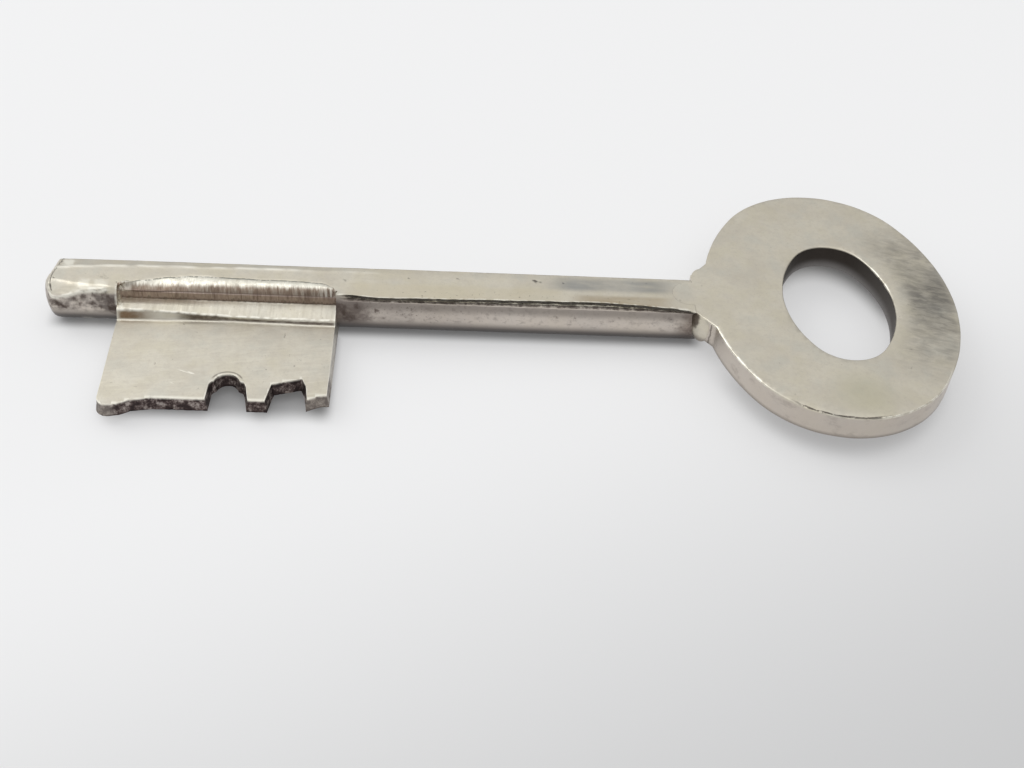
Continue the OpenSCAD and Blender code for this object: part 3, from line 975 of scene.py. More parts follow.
plate = nickel("stem_nickel", 0, (5, 1, 1))
facing_up = plate.z.between(TOP - 0.25, TOP - 0.12)
streak = plate.speckle(0.5, detail=4, rough=0.65, stretch=(5, 1, 1), seed=31).between(0.35, 0.60)
blue = plate.x.within(6.5, 14.5, 3.5) * plate.y.within(0.3, 1.2, 0.9) * facing_up
plate.lay(blue * (0.40 + 0.34 * streak), BLUE_GREY)
stain = plate.x.within(8.5, 14.5, 3.0) * plate.y.within(-2.1, -1.2, 0.6) * facing_up
plate.lay(stain * (0.50 + 0.35 * streak), FLAT_STAIN)
plate.lay(plate.y.within(-1.9, -0.6, 0.8) * plate.x.within(-14.0, 4.0, 3.0) * facing_up * 0.45, GOLD)
specks = plate.speckle(3.2, detail=3, rough=0.6, seed=32).between(0.62, 0.72) * plate.y.between(-0.4, -1.6)
plate.lay(specks * facing_up * plate.x.within(-12.0, 14.0, 3.0) * 0.7, PIT)
print("the streak near the neck has the colour", BLUE_GREY)

# %% [markdown]
# The side's dirt is densest beside the bit and at the neck, where no finger rubs, and on the front. The back
# keeps only an even, thin mottling. Close to the paper the front of the bar is painted dark, a painted shade
# from the shadow beneath it.

# %% Dirt on the stem's side, and painted shade at its bottom
MOTTLE_DIRT, BY_BIT_DIRT, NECK_DIRT = (0.120, 0.100, 0.092), (0.240, 0.205, 0.185), (0.190, 0.145, 0.120)
PAINTED_UNDER_SHADE = (0.075, 0.064, 0.060)

front = plate.y.between(0.5, -0.5)
side_top = plate.z - 0.16 * plate.x.between(-20.0, -17.0) + 0.30 * plate.x.between(-41.0, -43.5)
side = side_top.between(TOP - 0.45, TOP - 0.75)
plate.lay(side * 0.65, PINK_NICKEL)
dense = 0.34 * plate.x.between(-37.0, -38.2) + 0.55 * plate.x.within(-39.2, -37.0, 1.4)
dense += 0.72 * plate.x.within(-20.0, -15.4, 3.2) + 0.30 * plate.x.within(17.6, 20.0, 3.0)
dense = 0.03 + 0.17 * plate.x.between(4.0, -12.0) + dense * front
mottle = plate.speckle(1.6, detail=5, rough=0.65, stretch=(1.4, 1, 1), seed=33)
dirty = (mottle + 0.34 * dense).between(0.50, 0.92) * plate.z.within(2.9, 4.2, 0.8) * side
plate.lay(dirty * 0.85, MOTTLE_DIRT)
dots = plate.speckle(3.4, detail=2, rough=0.5, seed=35).between(0.60, 0.70)
dots *= plate.z.within(3.1, 4.4, 0.6) * side
plate.lay(dots * (0.20 + 0.50 * plate.x.between(2.0, -12.0)), PIT)
side *= front
by_bit = plate.z.between(TOP - 0.02, TOP - 0.15) * front * plate.x.within(-20.0, -15.2, 2.4)
plate.lay(by_bit * 0.62, DARK_DIRT_AND_SHADE)
plate.lay(side * plate.z.between(3.6, 4.4) * plate.x.between(-17.5, -16.5) * 0.50, BY_BIT_DIRT)
plate.lay(side * plate.x.within(-17.0, -8.0, 9.0) * 0.28, BY_BIT_DIRT)
plate.lay(side * square_to_crack(plate.x, plate.z).between(16.9, 18.6) * 0.62, NECK_DIRT)
# Painted shade: the front of the bar darkens towards the paper.
plate.lay(plate.z.between(3.0, 1.6) * side * 0.92, PAINTED_UNDER_SHADE)
print("the side's dirt has", MOTTLE_DIRT, "as its colour")

# %% [markdown]
# The two painted names come over all the rest: the painted shade in the grooves is nearly black, the dirt is
# browner lower down on the side, and the lip and the ridge carry painted highlights as bright as new metal.
# The seat's wall has its own brown, with file marks that feed the colour and the bump, so that the two agree.

# %% Painted groove shade, seat and painted highlights of the stem
GROOVE_SHADE_AND_DIRT, MARK_DIRT = (0.075, 0.066, 0.058), (0.115, 0.088, 0.077)
SEAT_BROWN, SEAT_PALE, SEAT_DARK = (0.450, 0.352, 0.300), (0.620, 0.520, 0.430), (0.200, 0.148, 0.125)

rag = plate.speckle(3.2, detail=4, rough=0.7, seed=34)
dark = (plate.painted("dirt_and_groove_shade") + 1.1 * (rag - 0.5)).between(0.12, 0.98)
plate.lay(dark * 0.94, plate.mix(side, GROOVE_SHADE_AND_DIRT, MARK_DIRT))
seat = plate.x.within(bit_low.x, bit_high.x, 0.02) * plate.y.within(WALL_Y - 0.05, WALL_Y + 0.1, 0.02)
seat *= plate.z.between(BEAD_FOOT + 0.3, BEAD_FOOT + 0.2)
marks = scorch(plate, seat, SEAT_BROWN)
plate.lay(seat * marks.between(0.52, 0.62) * 0.35, SEAT_PALE)
plate.lay(seat * marks.between(0.50, 0.38) * 0.40, SEAT_DARK)
low_edge = (plate.z - 1.8 * (marks - 0.5)).between(3.90, 3.62)
plate.lay(seat * low_edge * 0.50, SOOT)
# Painted highlights on the lip, the ridge, the filed rim and a few spots.
plate.lay(plate.painted("painted_highlight") * 0.85, BRIGHT)
plate.emboss(marks * seat, 0.7, 0.040)
plate.emboss(1 - dark, 0.5, 0.060)
plate.rough += 0.22 * dark + 0.10 * dirty
finish_piece(bar, "stem_bar", plate.metal(), "stem")

# %% [markdown]
# ## The bit
#
# The bit is a thin web with teeth, which fits the lock's levers, on a thick
# root. Its plan is drawn as one outline with the teeth and the cuts in it. The
# cuts could be taken out of a blank with Booleans, but a drawn outline keeps
# the mesh clean, and each corner stays a plain number that can be changed.

# %% Draw the bit's plan
WEB_TOP, WEB_UNDER = 2.5, 1.05
EDGE_Y = -14.5
HEEL_REACH, HEEL_R, HEEL_W = 1.1, 0.9, 5.0
TOOTH_A, CUT_A, TOOTH_B, CUT_B = 9.95, 3.95, 1.6, 3.9
CUT_A_DEPTH, CUT_B_DEPTH, CUT_B_SLOPE, CUT_TAPER = 2.5, 2.3, 0.8, 0.45
BITE_W, BITE_DEPTH = 2.4, 0.9
TOE_BACK, TOE_SLOPE = 0.35, 0.65
BIT_FLARE = 0.20
HEEL_IN = 0.05


def bit_spot(along, beyond):
    """A point of the plan: so far along the bit from its tip end, and so far beyond the middle tooth."""
    return (bit_low.x + along, EDGE_Y - beyond, WEB_TOP)


bit = bmesh.new()
first = bit.verts.new((bit_high.x, WALL_Y, WEB_TOP))
last = draw_line(bit, first, (bit_low.x, WALL_Y, WEB_TOP), bit_spot(HEEL_IN, HEEL_REACH - HEEL_R))
last = spin_vertex(bit, last, bit_spot(HEEL_IN + HEEL_R, HEEL_REACH - HEEL_R), 90)
last = draw_line(
    bit, last, bit_spot(0.4 * HEEL_W, 0.85 * HEEL_REACH), bit_spot(0.6 * HEEL_W, 0.35 * HEEL_REACH),
    bit_spot(HEEL_W, 0), bit_spot(TOOTH_A, 0), bit_spot(TOOTH_A + 0.1, -CUT_A_DEPTH + 0.5),
    bit_spot(TOOTH_A + 0.35, -CUT_A_DEPTH + 0.1),
)
bite_along = TOOTH_A + (CUT_A - CUT_TAPER) / 2
last = draw_line(bit, last, bit_spot(bite_along - BITE_W / 2, -CUT_A_DEPTH))
bite_r = (BITE_W**2 / 4 + BITE_DEPTH**2) / (2 * BITE_DEPTH)
bite_turn = 2 * math.degrees(math.asin(BITE_W / 2 / bite_r))
last = spin_vertex(bit, last, bit_spot(bite_along, -CUT_A_DEPTH - BITE_DEPTH + bite_r), -bite_turn)
tooth_b_along = TOOTH_A + CUT_A
cut_b_along = tooth_b_along + TOOTH_B
tooth_c_along = cut_b_along + CUT_B
last = draw_line(
    bit, last, bit_spot(tooth_b_along - CUT_TAPER - 0.15, -CUT_A_DEPTH + 0.15),
    bit_spot(tooth_b_along - CUT_TAPER + 0.1, -CUT_A_DEPTH + 0.7), bit_spot(tooth_b_along, 0),
    bit_spot(cut_b_along, 0), bit_spot(cut_b_along + 0.3, -CUT_B_DEPTH + 0.6),
    bit_spot(cut_b_along + CUT_TAPER, -CUT_B_DEPTH),
    bit_spot(tooth_c_along - CUT_TAPER - 0.25, -CUT_B_DEPTH - CUT_B_SLOPE),
    bit_spot(tooth_c_along - 0.25, -CUT_B_DEPTH + 0.2), bit_spot(tooth_c_along, -TOE_BACK),
    bit_spot(tooth_c_along + 1.0, -TOE_BACK - 0.55),
    bit_spot(bit_high.x - bit_low.x - 0.1, -TOE_BACK - TOE_SLOPE),
)
bit.edges.new((last, first))
bmesh.ops.contextual_create(bit, geom=bit.edges[:])
print("the bit's plan has", len(bit.edges), "edges")

# %% [markdown]
# The outline is extruded down by the web's thickness. A stamped blank is a
# little wider below, so each lower point moves out along its own side. Then the
# part of the lower face by the root is extruded once more, so the thin web and
# the thick root stay one closed mesh, as they are one piece of metal.

# %% Extrude the blank and flare its sides
LEDGE_Y = -3.7

blank = bmesh.ops.extrude_face_region(bit, geom=bit.faces[:])
sunk = points_of(blank)
bmesh.ops.translate(bit, vec=(0, 0, WEB_UNDER - WEB_TOP), verts=sunk)
bmesh.ops.recalc_face_normals(bit, faces=bit.faces)
for vert in sunk:
    sides = [f.normal for f in vert.link_faces if abs(f.normal.z) < 0.5 and f.normal.y < 0.9]
    flare = sum(sides, Vector()) / len(sides)
    vert.co += flare / max(0.4, flare.length_squared) * BIT_FLARE
    vert.co.y = min(vert.co.y, WALL_Y)

slice_at(bit, 1, LEDGE_Y)
heel = [f for f in bit.faces if f.normal.z < -0.9 and f.calc_center_median().y > LEDGE_Y]
thick = bmesh.ops.extrude_face_region(bit, geom=heel)
bmesh.ops.delete(bit, geom=heel, context="FACES")
bmesh.ops.translate(bit, vec=(0, 0, bit_low.z - WEB_UNDER), verts=points_of(thick))
print("the blank is", round(WEB_TOP - WEB_UNDER, 2), "mm thick")

# %% [markdown]
# Along the root the bit's upper face rises in a step: a hollow foot, a steep
# riser, and a ledge that falls to the front. The step is high at the tip's end
# and low at the other, so its section is a function of the place along the bit.
# A loft would need a row of drawn sections for what this function says at once.

# %% The root's section
STRIP_Y, BANDS = -4.3, 38
RIM_HEIGHT = [
    (-38.0, 3.50), (-35.0, 3.46), (-32.0, 3.32), (-29.0, 3.16), (-27.0, 3.06), (-23.0, 2.99), (-18.0, 2.98),
]
FOOT_Y = [(-38.0, -3.97), (-35.0, -3.92), (-31.0, -3.80), (-27.0, -3.76), (-18.0, -3.88)]
LEDGE_RIM_Y = -3.50
BACK_HEIGHT = [(-38.0, 3.66), (-30.0, 3.64), (-18.0, 3.60)]


def root_section(x):
    """The root's section at x, from the web to the seat's wall, as places in Y and Z."""
    place = Vector((x, 0, 0))
    rim_z = line_through(RIM_HEIGHT, x) + 0.03 * wobble(place, 0.9, 41) + 0.02 * wobble(place, 0.35, 42)
    rim_y = LEDGE_RIM_Y + 0.06 * wobble(place, 1.2, 43) + 0.03 * wobble(place, 0.4, 44)
    foot_y = line_through(FOOT_Y, x) + 0.02 * wobble(place, 0.6, 45)
    back_z = line_through(BACK_HEIGHT, x)
    rise = rim_z - WEB_TOP
    return [
        (STRIP_Y, WEB_TOP), (foot_y - 0.08, WEB_TOP), (foot_y + 0.02, WEB_TOP + 0.05 * rise),
        (foot_y + 0.12, WEB_TOP + 0.30 * rise), (rim_y - 0.09, WEB_TOP + 0.82 * rise),
        (rim_y - 0.02, rim_z - 0.03), (rim_y + 0.10, rim_z + 0.03),
        ((rim_y + WALL_Y) / 2, (rim_z + back_z) / 2 + 0.04), (WALL_Y, back_z),
    ]


def along_path(path, share):
    """The point that lies that share of the way along a path."""
    lengths = [math.dist(a, b) for a, b in zip(path, path[1:])]
    left = share * sum(lengths)
    for (a, b), length in zip(zip(path, path[1:]), lengths):
        if left <= length:
            return [p + (q - p) * left / length for p, q in zip(a, b)]
        left -= length
    return path[-1]


print("the riser is", round(root_section(bit_low.x)[5][1] - WEB_TOP, 2), "mm high at the tip's end")

# %% [markdown]
# The flat face is sliced into narrow bands, which are bent to that section. Each point then notes how brown
# it is, with the step's painted shade, and how strong its painted highlight is. Both follow the bent surface
# and not a place in space, so they are painted on the points while these move.

# %% Bend the root, and note its tarnish, its painted shade and its painted highlights
# This layer holds the root's tarnish and the painted shade of its step.
tarnish = bit.verts.layers.float.new("tarnish")
painted_highlight = bit.verts.layers.float.new("painted_highlight")


def root_tarnish_and_shade(flat, height):
    """The brown hollow at the tip's end, the dark line along the riser, part dirt and part painted shade of
    the step, and the dirt at the seat's wall.
    """
    x, y = flat.x, flat.y
    hollow = ramp(height, 0.02, 0.22) * ramp(-height, -1.0, -0.70)
    hollow *= ramp(-x, 33.4, 37.0) * ramp(x, -38.1, -37.8)
    top = 0.92 - 0.35 * ramp(x, -31, -25) + 0.12 * wobble(flat, 0.5, 48)
    line = ramp(height, 0.06, 0.16) * ramp(-height, -top - 0.06, -top + 0.06)
    line *= ramp(wobble(flat, 0.7, 46) + 1.5 * ramp(x, -32.5, -24), -0.35, 0.25) * ramp(x, -35.8, -35)
    at_edges = ramp(abs(height - 0.5), 0.28, 0.38)
    line *= at_edges + (1 - at_edges) * ramp(x, -33.0, -31.5)
    wall = ramp(y, WALL_Y - 0.16 - 0.10 * wobble(flat, 0.25, 47), WALL_Y)
    wall *= ramp(wobble(flat, 0.35, 49), -0.3, 0.2)
    return hollow, max(hollow, line, wall)


def root_highlight(flat, height, foot_y, rim_y, hollow):
    """Painted highlights on the rim of the ledge, the foot and both ends, and the pale patch between the two
    stains.
    """
    x, y = flat.x, flat.y
    rim = ramp(-abs(y - rim_y - 0.02), -0.13, -0.04) * ramp(wobble(flat, 0.45, 50), -0.35, 0.15)
    foot = ramp(-abs(y - foot_y + 0.14), -0.11, -0.04) * (0.6 + 0.4 * wobble(flat, 0.5, 51))
    pale = ramp(x, -36.6, -34.6) * ramp(-x, 31.0, 33.0) * ramp(height, 0.0, 0.15) * ramp(-height, -0.9, -0.7)
    left_end = ramp(-x, 37.3, 37.9) * ramp(y, -3.6, -3.3)
    right_end = ramp(x, bit_high.x - 0.2, bit_high.x - 0.05)
    end = max(left_end, right_end) * ramp(wobble(flat, 0.3, 52), -0.4, 0.2)
    return max(rim, 0.8 * foot, 0.55 * pale * (1 - hollow), 0.9 * end)


slice_across(bit, 1, STRIP_Y, WALL_Y - 0.01, (WALL_Y - STRIP_Y) / BANDS)
slice_across(bit, 0, bit_low.x + 0.09, bit_high.x, 0.18)
for vert in bit.verts:
    if vert.co.z > WEB_TOP - 0.001 and vert.co.y > STRIP_Y - 0.001:
        x = min(bit_high.x, max(bit_low.x, vert.co.x))
        section = root_section(x)
        y, z = along_path(section, (vert.co.y - STRIP_Y) / (WALL_Y - STRIP_Y))
        foot_y, rim_y, rim_z = section[2][0], section[5][0], section[5][1]
        flat = Vector((x, y, 0))
        height = (z - WEB_TOP) / (rim_z - WEB_TOP)
        hollow, vert[tarnish] = root_tarnish_and_shade(flat, height)
        vert[painted_highlight] = root_highlight(flat, height, foot_y, rim_y, hollow)
        vert.co.y, vert.co.z = y, z
print("the root rises to", round(max(vert.co.z for vert in bit.verts), 2), "mm")

# %% [markdown]
# A file leaves sharp edges, and the pocket takes them down, so a small bevel goes round the web. Picked by
# their angle alone, the edges would take in the root's step, so they are also picked by where they lie. The
# filed walls are then made uneven by a few hundredths of a millimetre, and their rims get a painted
# highlight.

# %% Round the bit's edges and roughen what was filed
EDGE_ROUND = 0.16

ends = (bit_low.x + 0.05, bit_high.x - 0.05)
worn = sharp_edges(bit, 50, lambda p: p.y < STRIP_Y or (p.y < WALL_Y - 0.1 and not ends[0] < p.x < ends[1]))
round_over(bit, worn, EDGE_ROUND)
slice_across(bit, 1, EDGE_Y - 1.0, STRIP_Y, 0.45)
slice_across(bit, 2, WEB_UNDER + 0.25, WEB_TOP - 0.1, 0.3)
bit.normal_update()
for vert in bit.verts:
    spot = vert.co
    filed = spot.y < -11.0 and vert.normal.z < 0.9
    jagged = 0.05 * wobble(spot, 0.45, 11) + 0.03 * wobble(spot, 0.2, 12)
    dent = 0.05 + jagged if filed else 0.015 + 0.015 * wobble(spot, 1.5, 13)
    on_edge = any(0.3 < face.normal.z < 0.98 for face in vert.link_faces)
    # Painted highlight on the bevelled rim of the web.
    if on_edge and spot.y < STRIP_Y and spot.z > WEB_TOP - 0.2:
        vert[painted_highlight] = ramp(wobble(spot, 0.6, 14), -0.75, -0.15) * (1.0 if spot.y < -10.5 else 0.6)
        vert[painted_highlight] *= 0.35 if vert.normal.z > 0.999 else 1.0
    if spot.y < WALL_Y - 0.1:
        spot -= vert.normal * dent
print("the bit's mesh has", len(bit.faces), "faces")

# %% [markdown]
# The bit was brushed along its length, so its face has fine lines and is the
# palest part of the key. Its filed edges were never cleaned: they are brown and
# black with bright flecks, all but the two ends, which rub in the pocket.

# %% Nickel of the bit's web and its filed edges
WEB_NICKEL, WEB_PALE = (0.685, 0.645, 0.550), (0.740, 0.700, 0.600)
EDGE_GREY, EDGE_BROWN, EDGE_BLACK = (0.360, 0.310, 0.300), (0.100, 0.070, 0.066), (0.030, 0.022, 0.022)
END_GREY = (0.230, 0.205, 0.185)

plate = nickel("bit_nickel", 8, (8, 1, 1), clouds=0.40, pits=0.8, colour=WEB_NICKEL)
brushed = plate.speckle(2.4, detail=5, rough=0.7, stretch=(7, 1, 1), turn=9, seed=51)
on_web = plate.z.between(WEB_TOP - 0.12, WEB_TOP - 0.05) * plate.y.between(STRIP_Y + 0.2, STRIP_Y)
plate.lay(brushed.between(0.48, 0.64) * on_web * 0.30, DULL_NICKEL)
plate.lay(brushed.between(0.44, 0.34) * on_web * 0.35, WEB_PALE)
plate.lay(plate.speckle(1.8, seed=52).between(0.68, 0.76) * on_web * 0.6, PIT)
nicks = plate.speckle(1.6, detail=2, stretch=(4, 1, 1), turn=-25, seed=53).between(0.66, 0.72)
plate.lay(nicks * plate.reach(-30.6, -12.0).between(1.7, 0.8) * on_web, BRIGHT)

edge_dirt = plate.speckle(1.3, detail=6, rough=0.75, seed=10)
cut_wall = plate.z.between(WEB_TOP - 0.10, WEB_TOP - 0.20) * plate.y.between(-10.7, -11.0)
cut_wall *= 0.58 + 0.42 * plate.x.within(-36.2, -19.4, 0.8)
plate.lay(cut_wall * 0.75, EDGE_GREY)
plate.lay(cut_wall * edge_dirt.between(0.64, 0.50) * 0.93, EDGE_BROWN)
plate.lay(cut_wall * edge_dirt.between(0.53, 0.43) * 0.84, EDGE_BLACK)
end_wall = plate.z.between(WEB_TOP - 0.15, WEB_TOP - 0.35) * (1 - cut_wall)
plate.lay(end_wall * (0.40 + 0.4 * edge_dirt.between(0.42, 0.56)), END_GREY)
bite_x, bite_y = bit_low.x + bite_along, EDGE_Y + CUT_A_DEPTH + BITE_DEPTH - bite_r
burr = plate.reach(bite_x, bite_y).within(bite_r + 0.24, bite_r + 0.34, 0.06)
plate.lay(burr * plate.y.between(bite_y + 0.5, bite_y + 0.9) * on_web * 0.65, PIT)
print("the burr lies round the bite at", round(bite_x, 1), round(bite_y, 1))

# %% [markdown]
# The root was left as the file made it: streaked from back to front on the ledge, with a brown line in the
# step that is part dirt and part painted shade. Noise breaks up what was painted on the points, because a
# painted layer alone has too soft an edge.

# %% Nickel of the bit's root
HOLLOW_BROWN, RISER_BROWN = (0.250, 0.170, 0.105), (0.165, 0.136, 0.110)
LEDGE_DARK, LEDGE_PALE = (0.400, 0.360, 0.280), (0.860, 0.830, 0.730)

rag = plate.speckle(2.0, detail=5, rough=0.72, stretch=(1.8, 1, 1), seed=55)
line_tone = plate.mix(plate.x.between(-35.0, -33.5), HOLLOW_BROWN, RISER_BROWN)
# Tarnish, and painted shade in the step.
plate.lay(plate.painted("tarnish") * (0.70 + 0.3 * rag.between(0.35, 0.6)), line_tone)
lines = plate.speckle(2.6, detail=5, rough=0.72, stretch=(1, 8, 8), turn=-4, seed=12)
ledge = plate.y.between(LEDGE_RIM_Y - 0.05, LEDGE_RIM_Y + 0.15)
plate.lay(ledge * lines.between(0.46, 0.74) * 0.42, LEDGE_DARK)
plate.lay(ledge * lines.between(0.42, 0.30) * 0.60, LEDGE_PALE)
# Painted highlights from the points.
plate.lay(plate.painted("painted_highlight") * 0.90, BRIGHT)
plate.emboss(lines * ledge, 0.6, 0.040)
plate.emboss(brushed * on_web, 0.35, 0.022)
plate.rough += 0.2 * cut_wall
finish_piece(bit, "bit_blade", plate.metal(), "bit")

# %% [markdown]
# ## The brazing
#
# The bead's back edge wanders over the flat, its crown is rubbed bright, and in
# front it rolls over the seat's edge into the brown wall. A grid of small faces
# is bent to the section that the stem was fitted to, roughened by two sizes of
# lumps, and given a thickness that sinks into the stem.

# %% Lay the bead
ALONG, ACROSS, BEAD_BODY = 170, 30, 0.28

bead = bmesh.new()
bmesh.ops.create_grid(bead, x_segments=ALONG, y_segments=ACROSS, size=0.5)
length = bead_high.x - bead_low.x
edge = bead.verts.layers.float.new("edge")
for vert in bead.verts:
    along, across = vert.co.x + 0.5, 0.5 - vert.co.y
    x = bead_low.x + along * length
    place = Vector((x, 0, 0))
    y, z = bead_point(x, across)
    y += (0.05 * wobble(place, 0.9, 21) + 0.03 * wobble(place, 0.3, 24)) * (1 - across)
    lumps = 0.05 * wobble(Vector((x, y * 1.5, 0)), 1.3, 22)
    lumps += 0.025 * wobble(Vector((x, y * 0.5, 0)), 0.28, 23)
    z += lumps * ramp(across, 0.1, 0.35) * ramp(-across, -1.0, -0.8)
    from_end = min(x - bead_low.x, bead_high.x - x)
    z -= 0.06 * ramp(-from_end, -0.40, 0) * ramp(z, BEAD_FOOT, BEAD_FOOT + 0.3)
    vert[edge] = ramp(-across, -0.13, -0.03) * ramp(x, -37.4, -35.8) * ramp(-x, 16.8, 17.4)
    vert.co = Vector((x, y, min(z, bead_high.z)))
bmesh.ops.recalc_face_normals(bead, faces=bead.faces)
if sum(face.normal.z for face in bead.faces) < 0:
    bmesh.ops.reverse_faces(bead, faces=bead.faces)
bmesh.ops.solidify(bead, geom=bead.faces[:], thickness=BEAD_BODY)
heights = [vert.co.z for vert in bead.verts]
print("the bead is", round(min(heights), 2), "to", round(max(heights), 2), "mm high")

# %% [markdown]
# The metal of the bead is rubbed bright on its crown, with small painted sparkles of highlight, and painted
# highlights streak both its ends. In front it turns brown along a ragged line, below which no finger gets at
# it. So a fine noise is added to the place before the line is drawn. The same file marks run on over the
# seat's wall below.

# %% Metal of the bead
RUBBED, BEAD_SHADE = (0.930, 0.900, 0.790), (0.480, 0.430, 0.330)
FOOT_BROWN, BACK_LINE = (0.195, 0.146, 0.122), (0.140, 0.140, 0.115)

plate = nickel("bead_metal", 0, (1, 5, 5), clouds=0.25, pits=0.4, colour=RUBBED)
roll = plate.speckle(0.9, detail=3, rough=0.6, stretch=(1, 4, 4), seed=61) - 0.5
sparkle = plate.speckle(2.4, detail=4, rough=0.7, stretch=(1, 4, 4), turn=-8, seed=62)
# Painted sparkles of highlight on the bead.
plate.lay(sparkle.between(0.52, 0.64) * 0.75, BRIGHT)
plate.lay(sparkle.between(0.44, 0.32) * 0.35, BEAD_SHADE)
teeth = plate.speckle(4.5, detail=3, rough=0.65, stretch=(1, 8, 8), turn=5, seed=63) - 0.5
low = (plate.y + 0.65 * teeth + 0.35 * roll).between(-1.14, -1.66)
marks = scorch(plate, low, BROWN)
plate.lay(plate.z.between(BEAD_FOOT + 0.12, BEAD_FOOT + 0.03) * 0.7, FOOT_BROWN)
# Painted highlights streak both ends of the bead.
ends = plate.larger(plate.x.between(-36.6, -37.7), plate.x.between(-18.9, -17.3))
plate.lay(ends * marks.between(0.43, 0.58) * 0.5, BRIGHT)
back_edge = plate.painted("edge") * plate.speckle(1.3, detail=4, rough=0.7, seed=64).between(0.36, 0.54)
plate.lay(back_edge * 0.85, BACK_LINE)
plate.emboss(marks, 0.8, 0.050)
plate.emboss(sparkle, 0.5, 0.040)
finish_piece(bead, "root_bead", plate.metal(), "bit_braze")

# %% [markdown]
# ## The neck's fillets
#
# Two small fillets of the same metal fill the corners where the bar meets the
# bow's shoulders. Melted metal pulls itself into a rounded lump there, so each
# one is a ball, drawn out along the shoulder and down, and cut level on top.

# %% Make the two fillets
FILLETS = [(-1, (1.25, 0.50, 1.90), (19.38, 3.30, 3.75)), (1, (0.95, 0.34, 1.90), (19.45, 3.42, 3.75))]
SHOULDER_L = 1.77
LUMPS = 0.035
shoulder_turn = math.atan2(SHOULDER_W - NECK_W, SHOULDER_L)

fillets = bmesh.new()
for side, size, (x, y, z) in FILLETS:
    lump = bmesh.ops.create_icosphere(fillets, subdivisions=4, radius=1.0)["verts"]
    bmesh.ops.scale(fillets, vec=size, verts=lump)
    turned = Matrix.Rotation(shoulder_turn * side, 3, "Z")
    bmesh.ops.rotate(fillets, cent=(0, 0, 0), matrix=turned, verts=lump)
    bmesh.ops.translate(fillets, vec=(x, y * side, z), verts=lump)
cut_level(fillets, TOP - 0.05)
for vert in fillets.verts:
    vert.co += vert.normal * LUMPS * wobble(vert.co, 0.7, 71)
print("the shoulders are turned by", round(math.degrees(shoulder_turn)), "degrees")

# %% [markdown]
# The fillets lie in corners and were hardly rubbed, so they keep plain nickel.
# Where the bar's end meets the front one there is a dark crack, which leans a little, and below the bow they
# are painted dark as shade.

# %% Metal of the fillets
CRACK_DIRT = (0.100, 0.078, 0.062)

plate = nickel("fillet_metal", 0, (3, 1, 1), clouds=0.4)
wander = plate.speckle(1.2, detail=3, seed=72) - 0.5
crack = square_to_crack(plate.x + 0.9 * wander, plate.z).between(19.00, 18.62) * plate.y.between(0.5, -0.5)
plate.lay(crack * 0.90, CRACK_DIRT)
# Painted shade below the bow's underside.
plate.lay(plate.z.between(BOW_UNDER + 0.8, BOW_UNDER - 0.1) * 0.7, DARK_DIRT_AND_SHADE)
finish_piece(fillets, "neck_fillets", plate.metal(), "neck_braze")

# %% [markdown]
# ## The table and the light
#
# The key lies on plain white paper. The paper runs far past the picture's edges, because the metal mirrors
# it, and a painted shade darkens it a little towards the front right, as the photograph's does. Half of what
# the camera sees of it is its own pale colour and half is the light on it, so shadows stay soft. Close under
# the key the pale half is painted dark: painted shadows under the stem, the bit and the bow, where hardly any
# light gets in.

# %% Colours of the paper, with painted shade and shadows
PAPER, SEEN_PAPER = (0.870, 0.870, 0.873), (0.880, 0.880, 0.884)
PAPER_SHADE_FALL = 0.34
BLACK = (0, 0, 0)

sheet = Finish("paper", PAPER)
# Painted shade: the paper darkens towards the front right.
shade_fall = (0.5 * sheet.x - sheet.y).between(5, 82) * PAPER_SHADE_FALL
sheet.lay(shade_fall, BLACK)
sheet.set(Base_Color=sheet.tone, Roughness=0.9)
# Painted shadows under the stem, the bit and the bow, laid into the pale half.
stem_shadow = sheet.y.within(-1.5, 1.5, 1.6) * sheet.x.within(TIP_X + 1.5, neck_x, 2.0)
bit_shadow = sheet.y.within(-12.8, 0, 2.5) * sheet.x.within(bit_low.x + 0.8, bit_high.x - 0.8, 1.6)
in_bow = sheet.oval(bow_x, 0, OVAL_L / 2, OVAL_W / 2).between(1.15, 0.80)
past_hole = sheet.oval(hole_x, HOLE_SIDE, HOLE_L / 2, HOLE_W / 2).between(0.95, 2.00)
bow_shadow = in_bow * (0.25 * sheet.y.between(-5, -9) + 0.85 * past_hole * sheet.y.between(0, 5))
seen = sheet.mix(shade_fall, SEEN_PAPER, BLACK)
seen = sheet.mix(0.80 * sheet.larger(stem_shadow, bit_shadow) + bow_shadow, seen, BLACK)
own_light = sheet.node("ShaderNodeEmission", {}, {"Color": seen, "Strength": 1.0})
rays = sheet.node("ShaderNodeLightPath", output=None)
kinds = ("Camera", "Glossy", "Transmission")
by_eye = sum(Wire(sheet, rays.outputs[f"Is {kind} Ray"]) for kind in kinds)
surface = Wire(sheet, sheet.shader.outputs[0])
share = by_eye.between(0, 1) * 0.5
both = sheet.node("ShaderNodeMixShader", {}, {0: share, 1: surface, 2: own_light})
sheet.feed(sheet.nodes.nodes["Material Output"].inputs["Surface"], both)
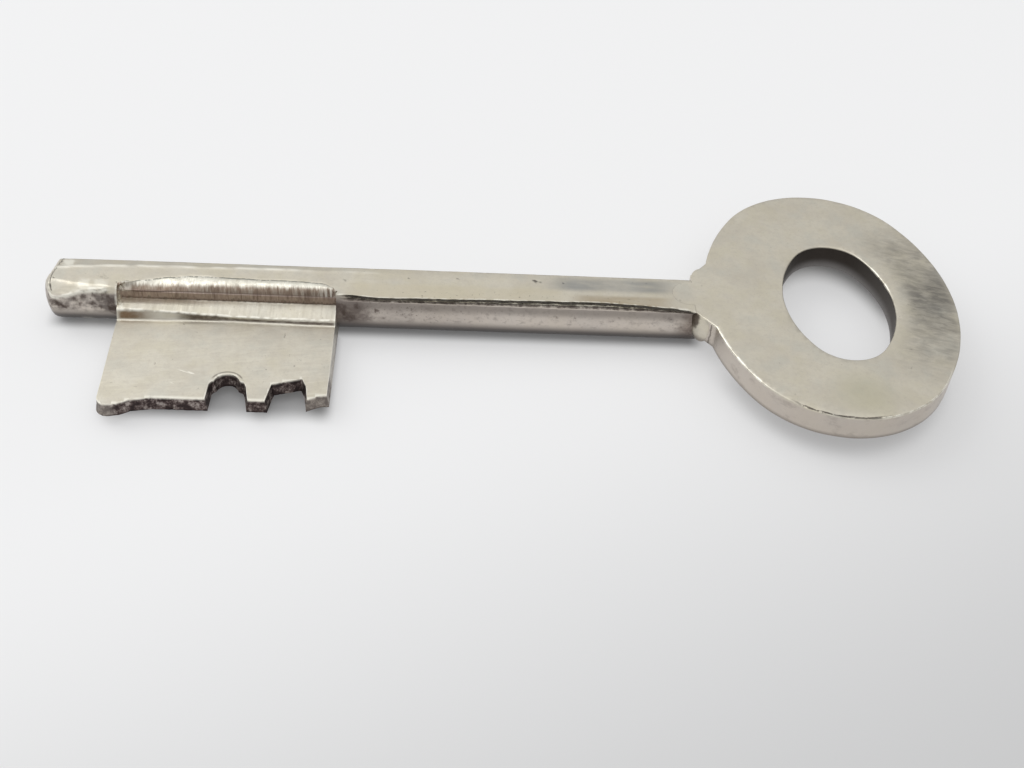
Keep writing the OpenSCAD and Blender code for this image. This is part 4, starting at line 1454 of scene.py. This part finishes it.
print("the paper darkens by", PAPER_SHADE_FALL, "towards its front right")

# %% [markdown]
# The sheet is one flat grid. It lies a hair below the key, because two surfaces
# in exactly the same place would flicker where the bar touches the paper.

# %% Lay the paper
PAPER_HALF_M, PAPER_DROP_MM = 3.0, 0.02

flat = bmesh.new()
bmesh.ops.create_grid(flat, x_segments=8, y_segments=8, size=PAPER_HALF_M)
bmesh.ops.translate(flat, vec=(0, 0, -PAPER_DROP_MM * MM), verts=flat.verts)
paper = make_object(flat, "paper")
paper.data.materials.append(sheet.material)
print("the paper is", 2 * PAPER_HALF_M, "m wide")

# %% [markdown]
# The room is brightest overhead, a little to the left, and darker behind the
# camera. That is what gives the metal its form: a face that leans to the front
# mirrors the bright ceiling, and a steep one the dark side of the room. A soft
# window on the left draws the bright line along the rims.

# %% Light
SKY_TURN = Vector((-0.30, 0.05, 0.95)).normalized()
SKY_LOW, SKY_GAIN = 0.52, 0.66
SKY_COLOUR = (0.99, 0.995, 1.0)

world = bpy.data.worlds.new("soft_room")
scene.world = world
world.use_nodes = True
sky = Tree(world.node_tree)
way = sky.node("ShaderNodeTexCoord", output="Generated")
to_sky = sky.node("ShaderNodeVectorMath", {"operation": "DOT_PRODUCT"}, {0: way, 1: SKY_TURN}, output="Value")
brightness = SKY_LOW + SKY_GAIN * sky.larger(to_sky, 0.0) ** 1.5
room = sky.nodes.nodes["Background"]
room.inputs["Color"].default_value = (*SKY_COLOUR, 1)
sky.feed(room.inputs["Strength"], brightness)

WINDOW_MM, WINDOW_SIZE, WINDOW_WATTS = Vector((-420, 190, 420)), 420, 0.85
light = bpy.data.lights.new("window", "AREA")
light.shape = "SQUARE"
light.size = WINDOW_SIZE * MM
light.energy = WINDOW_WATTS
window = bpy.data.objects.new("window", light)
window.location = WINDOW_MM * MM
window.rotation_euler = (-WINDOW_MM).to_track_quat("-Z", "Y").to_euler()
scene.collection.objects.link(window)
print("the window is", round(WINDOW_MM.length), "mm from the key")

scene.view_settings.view_transform = "Standard"
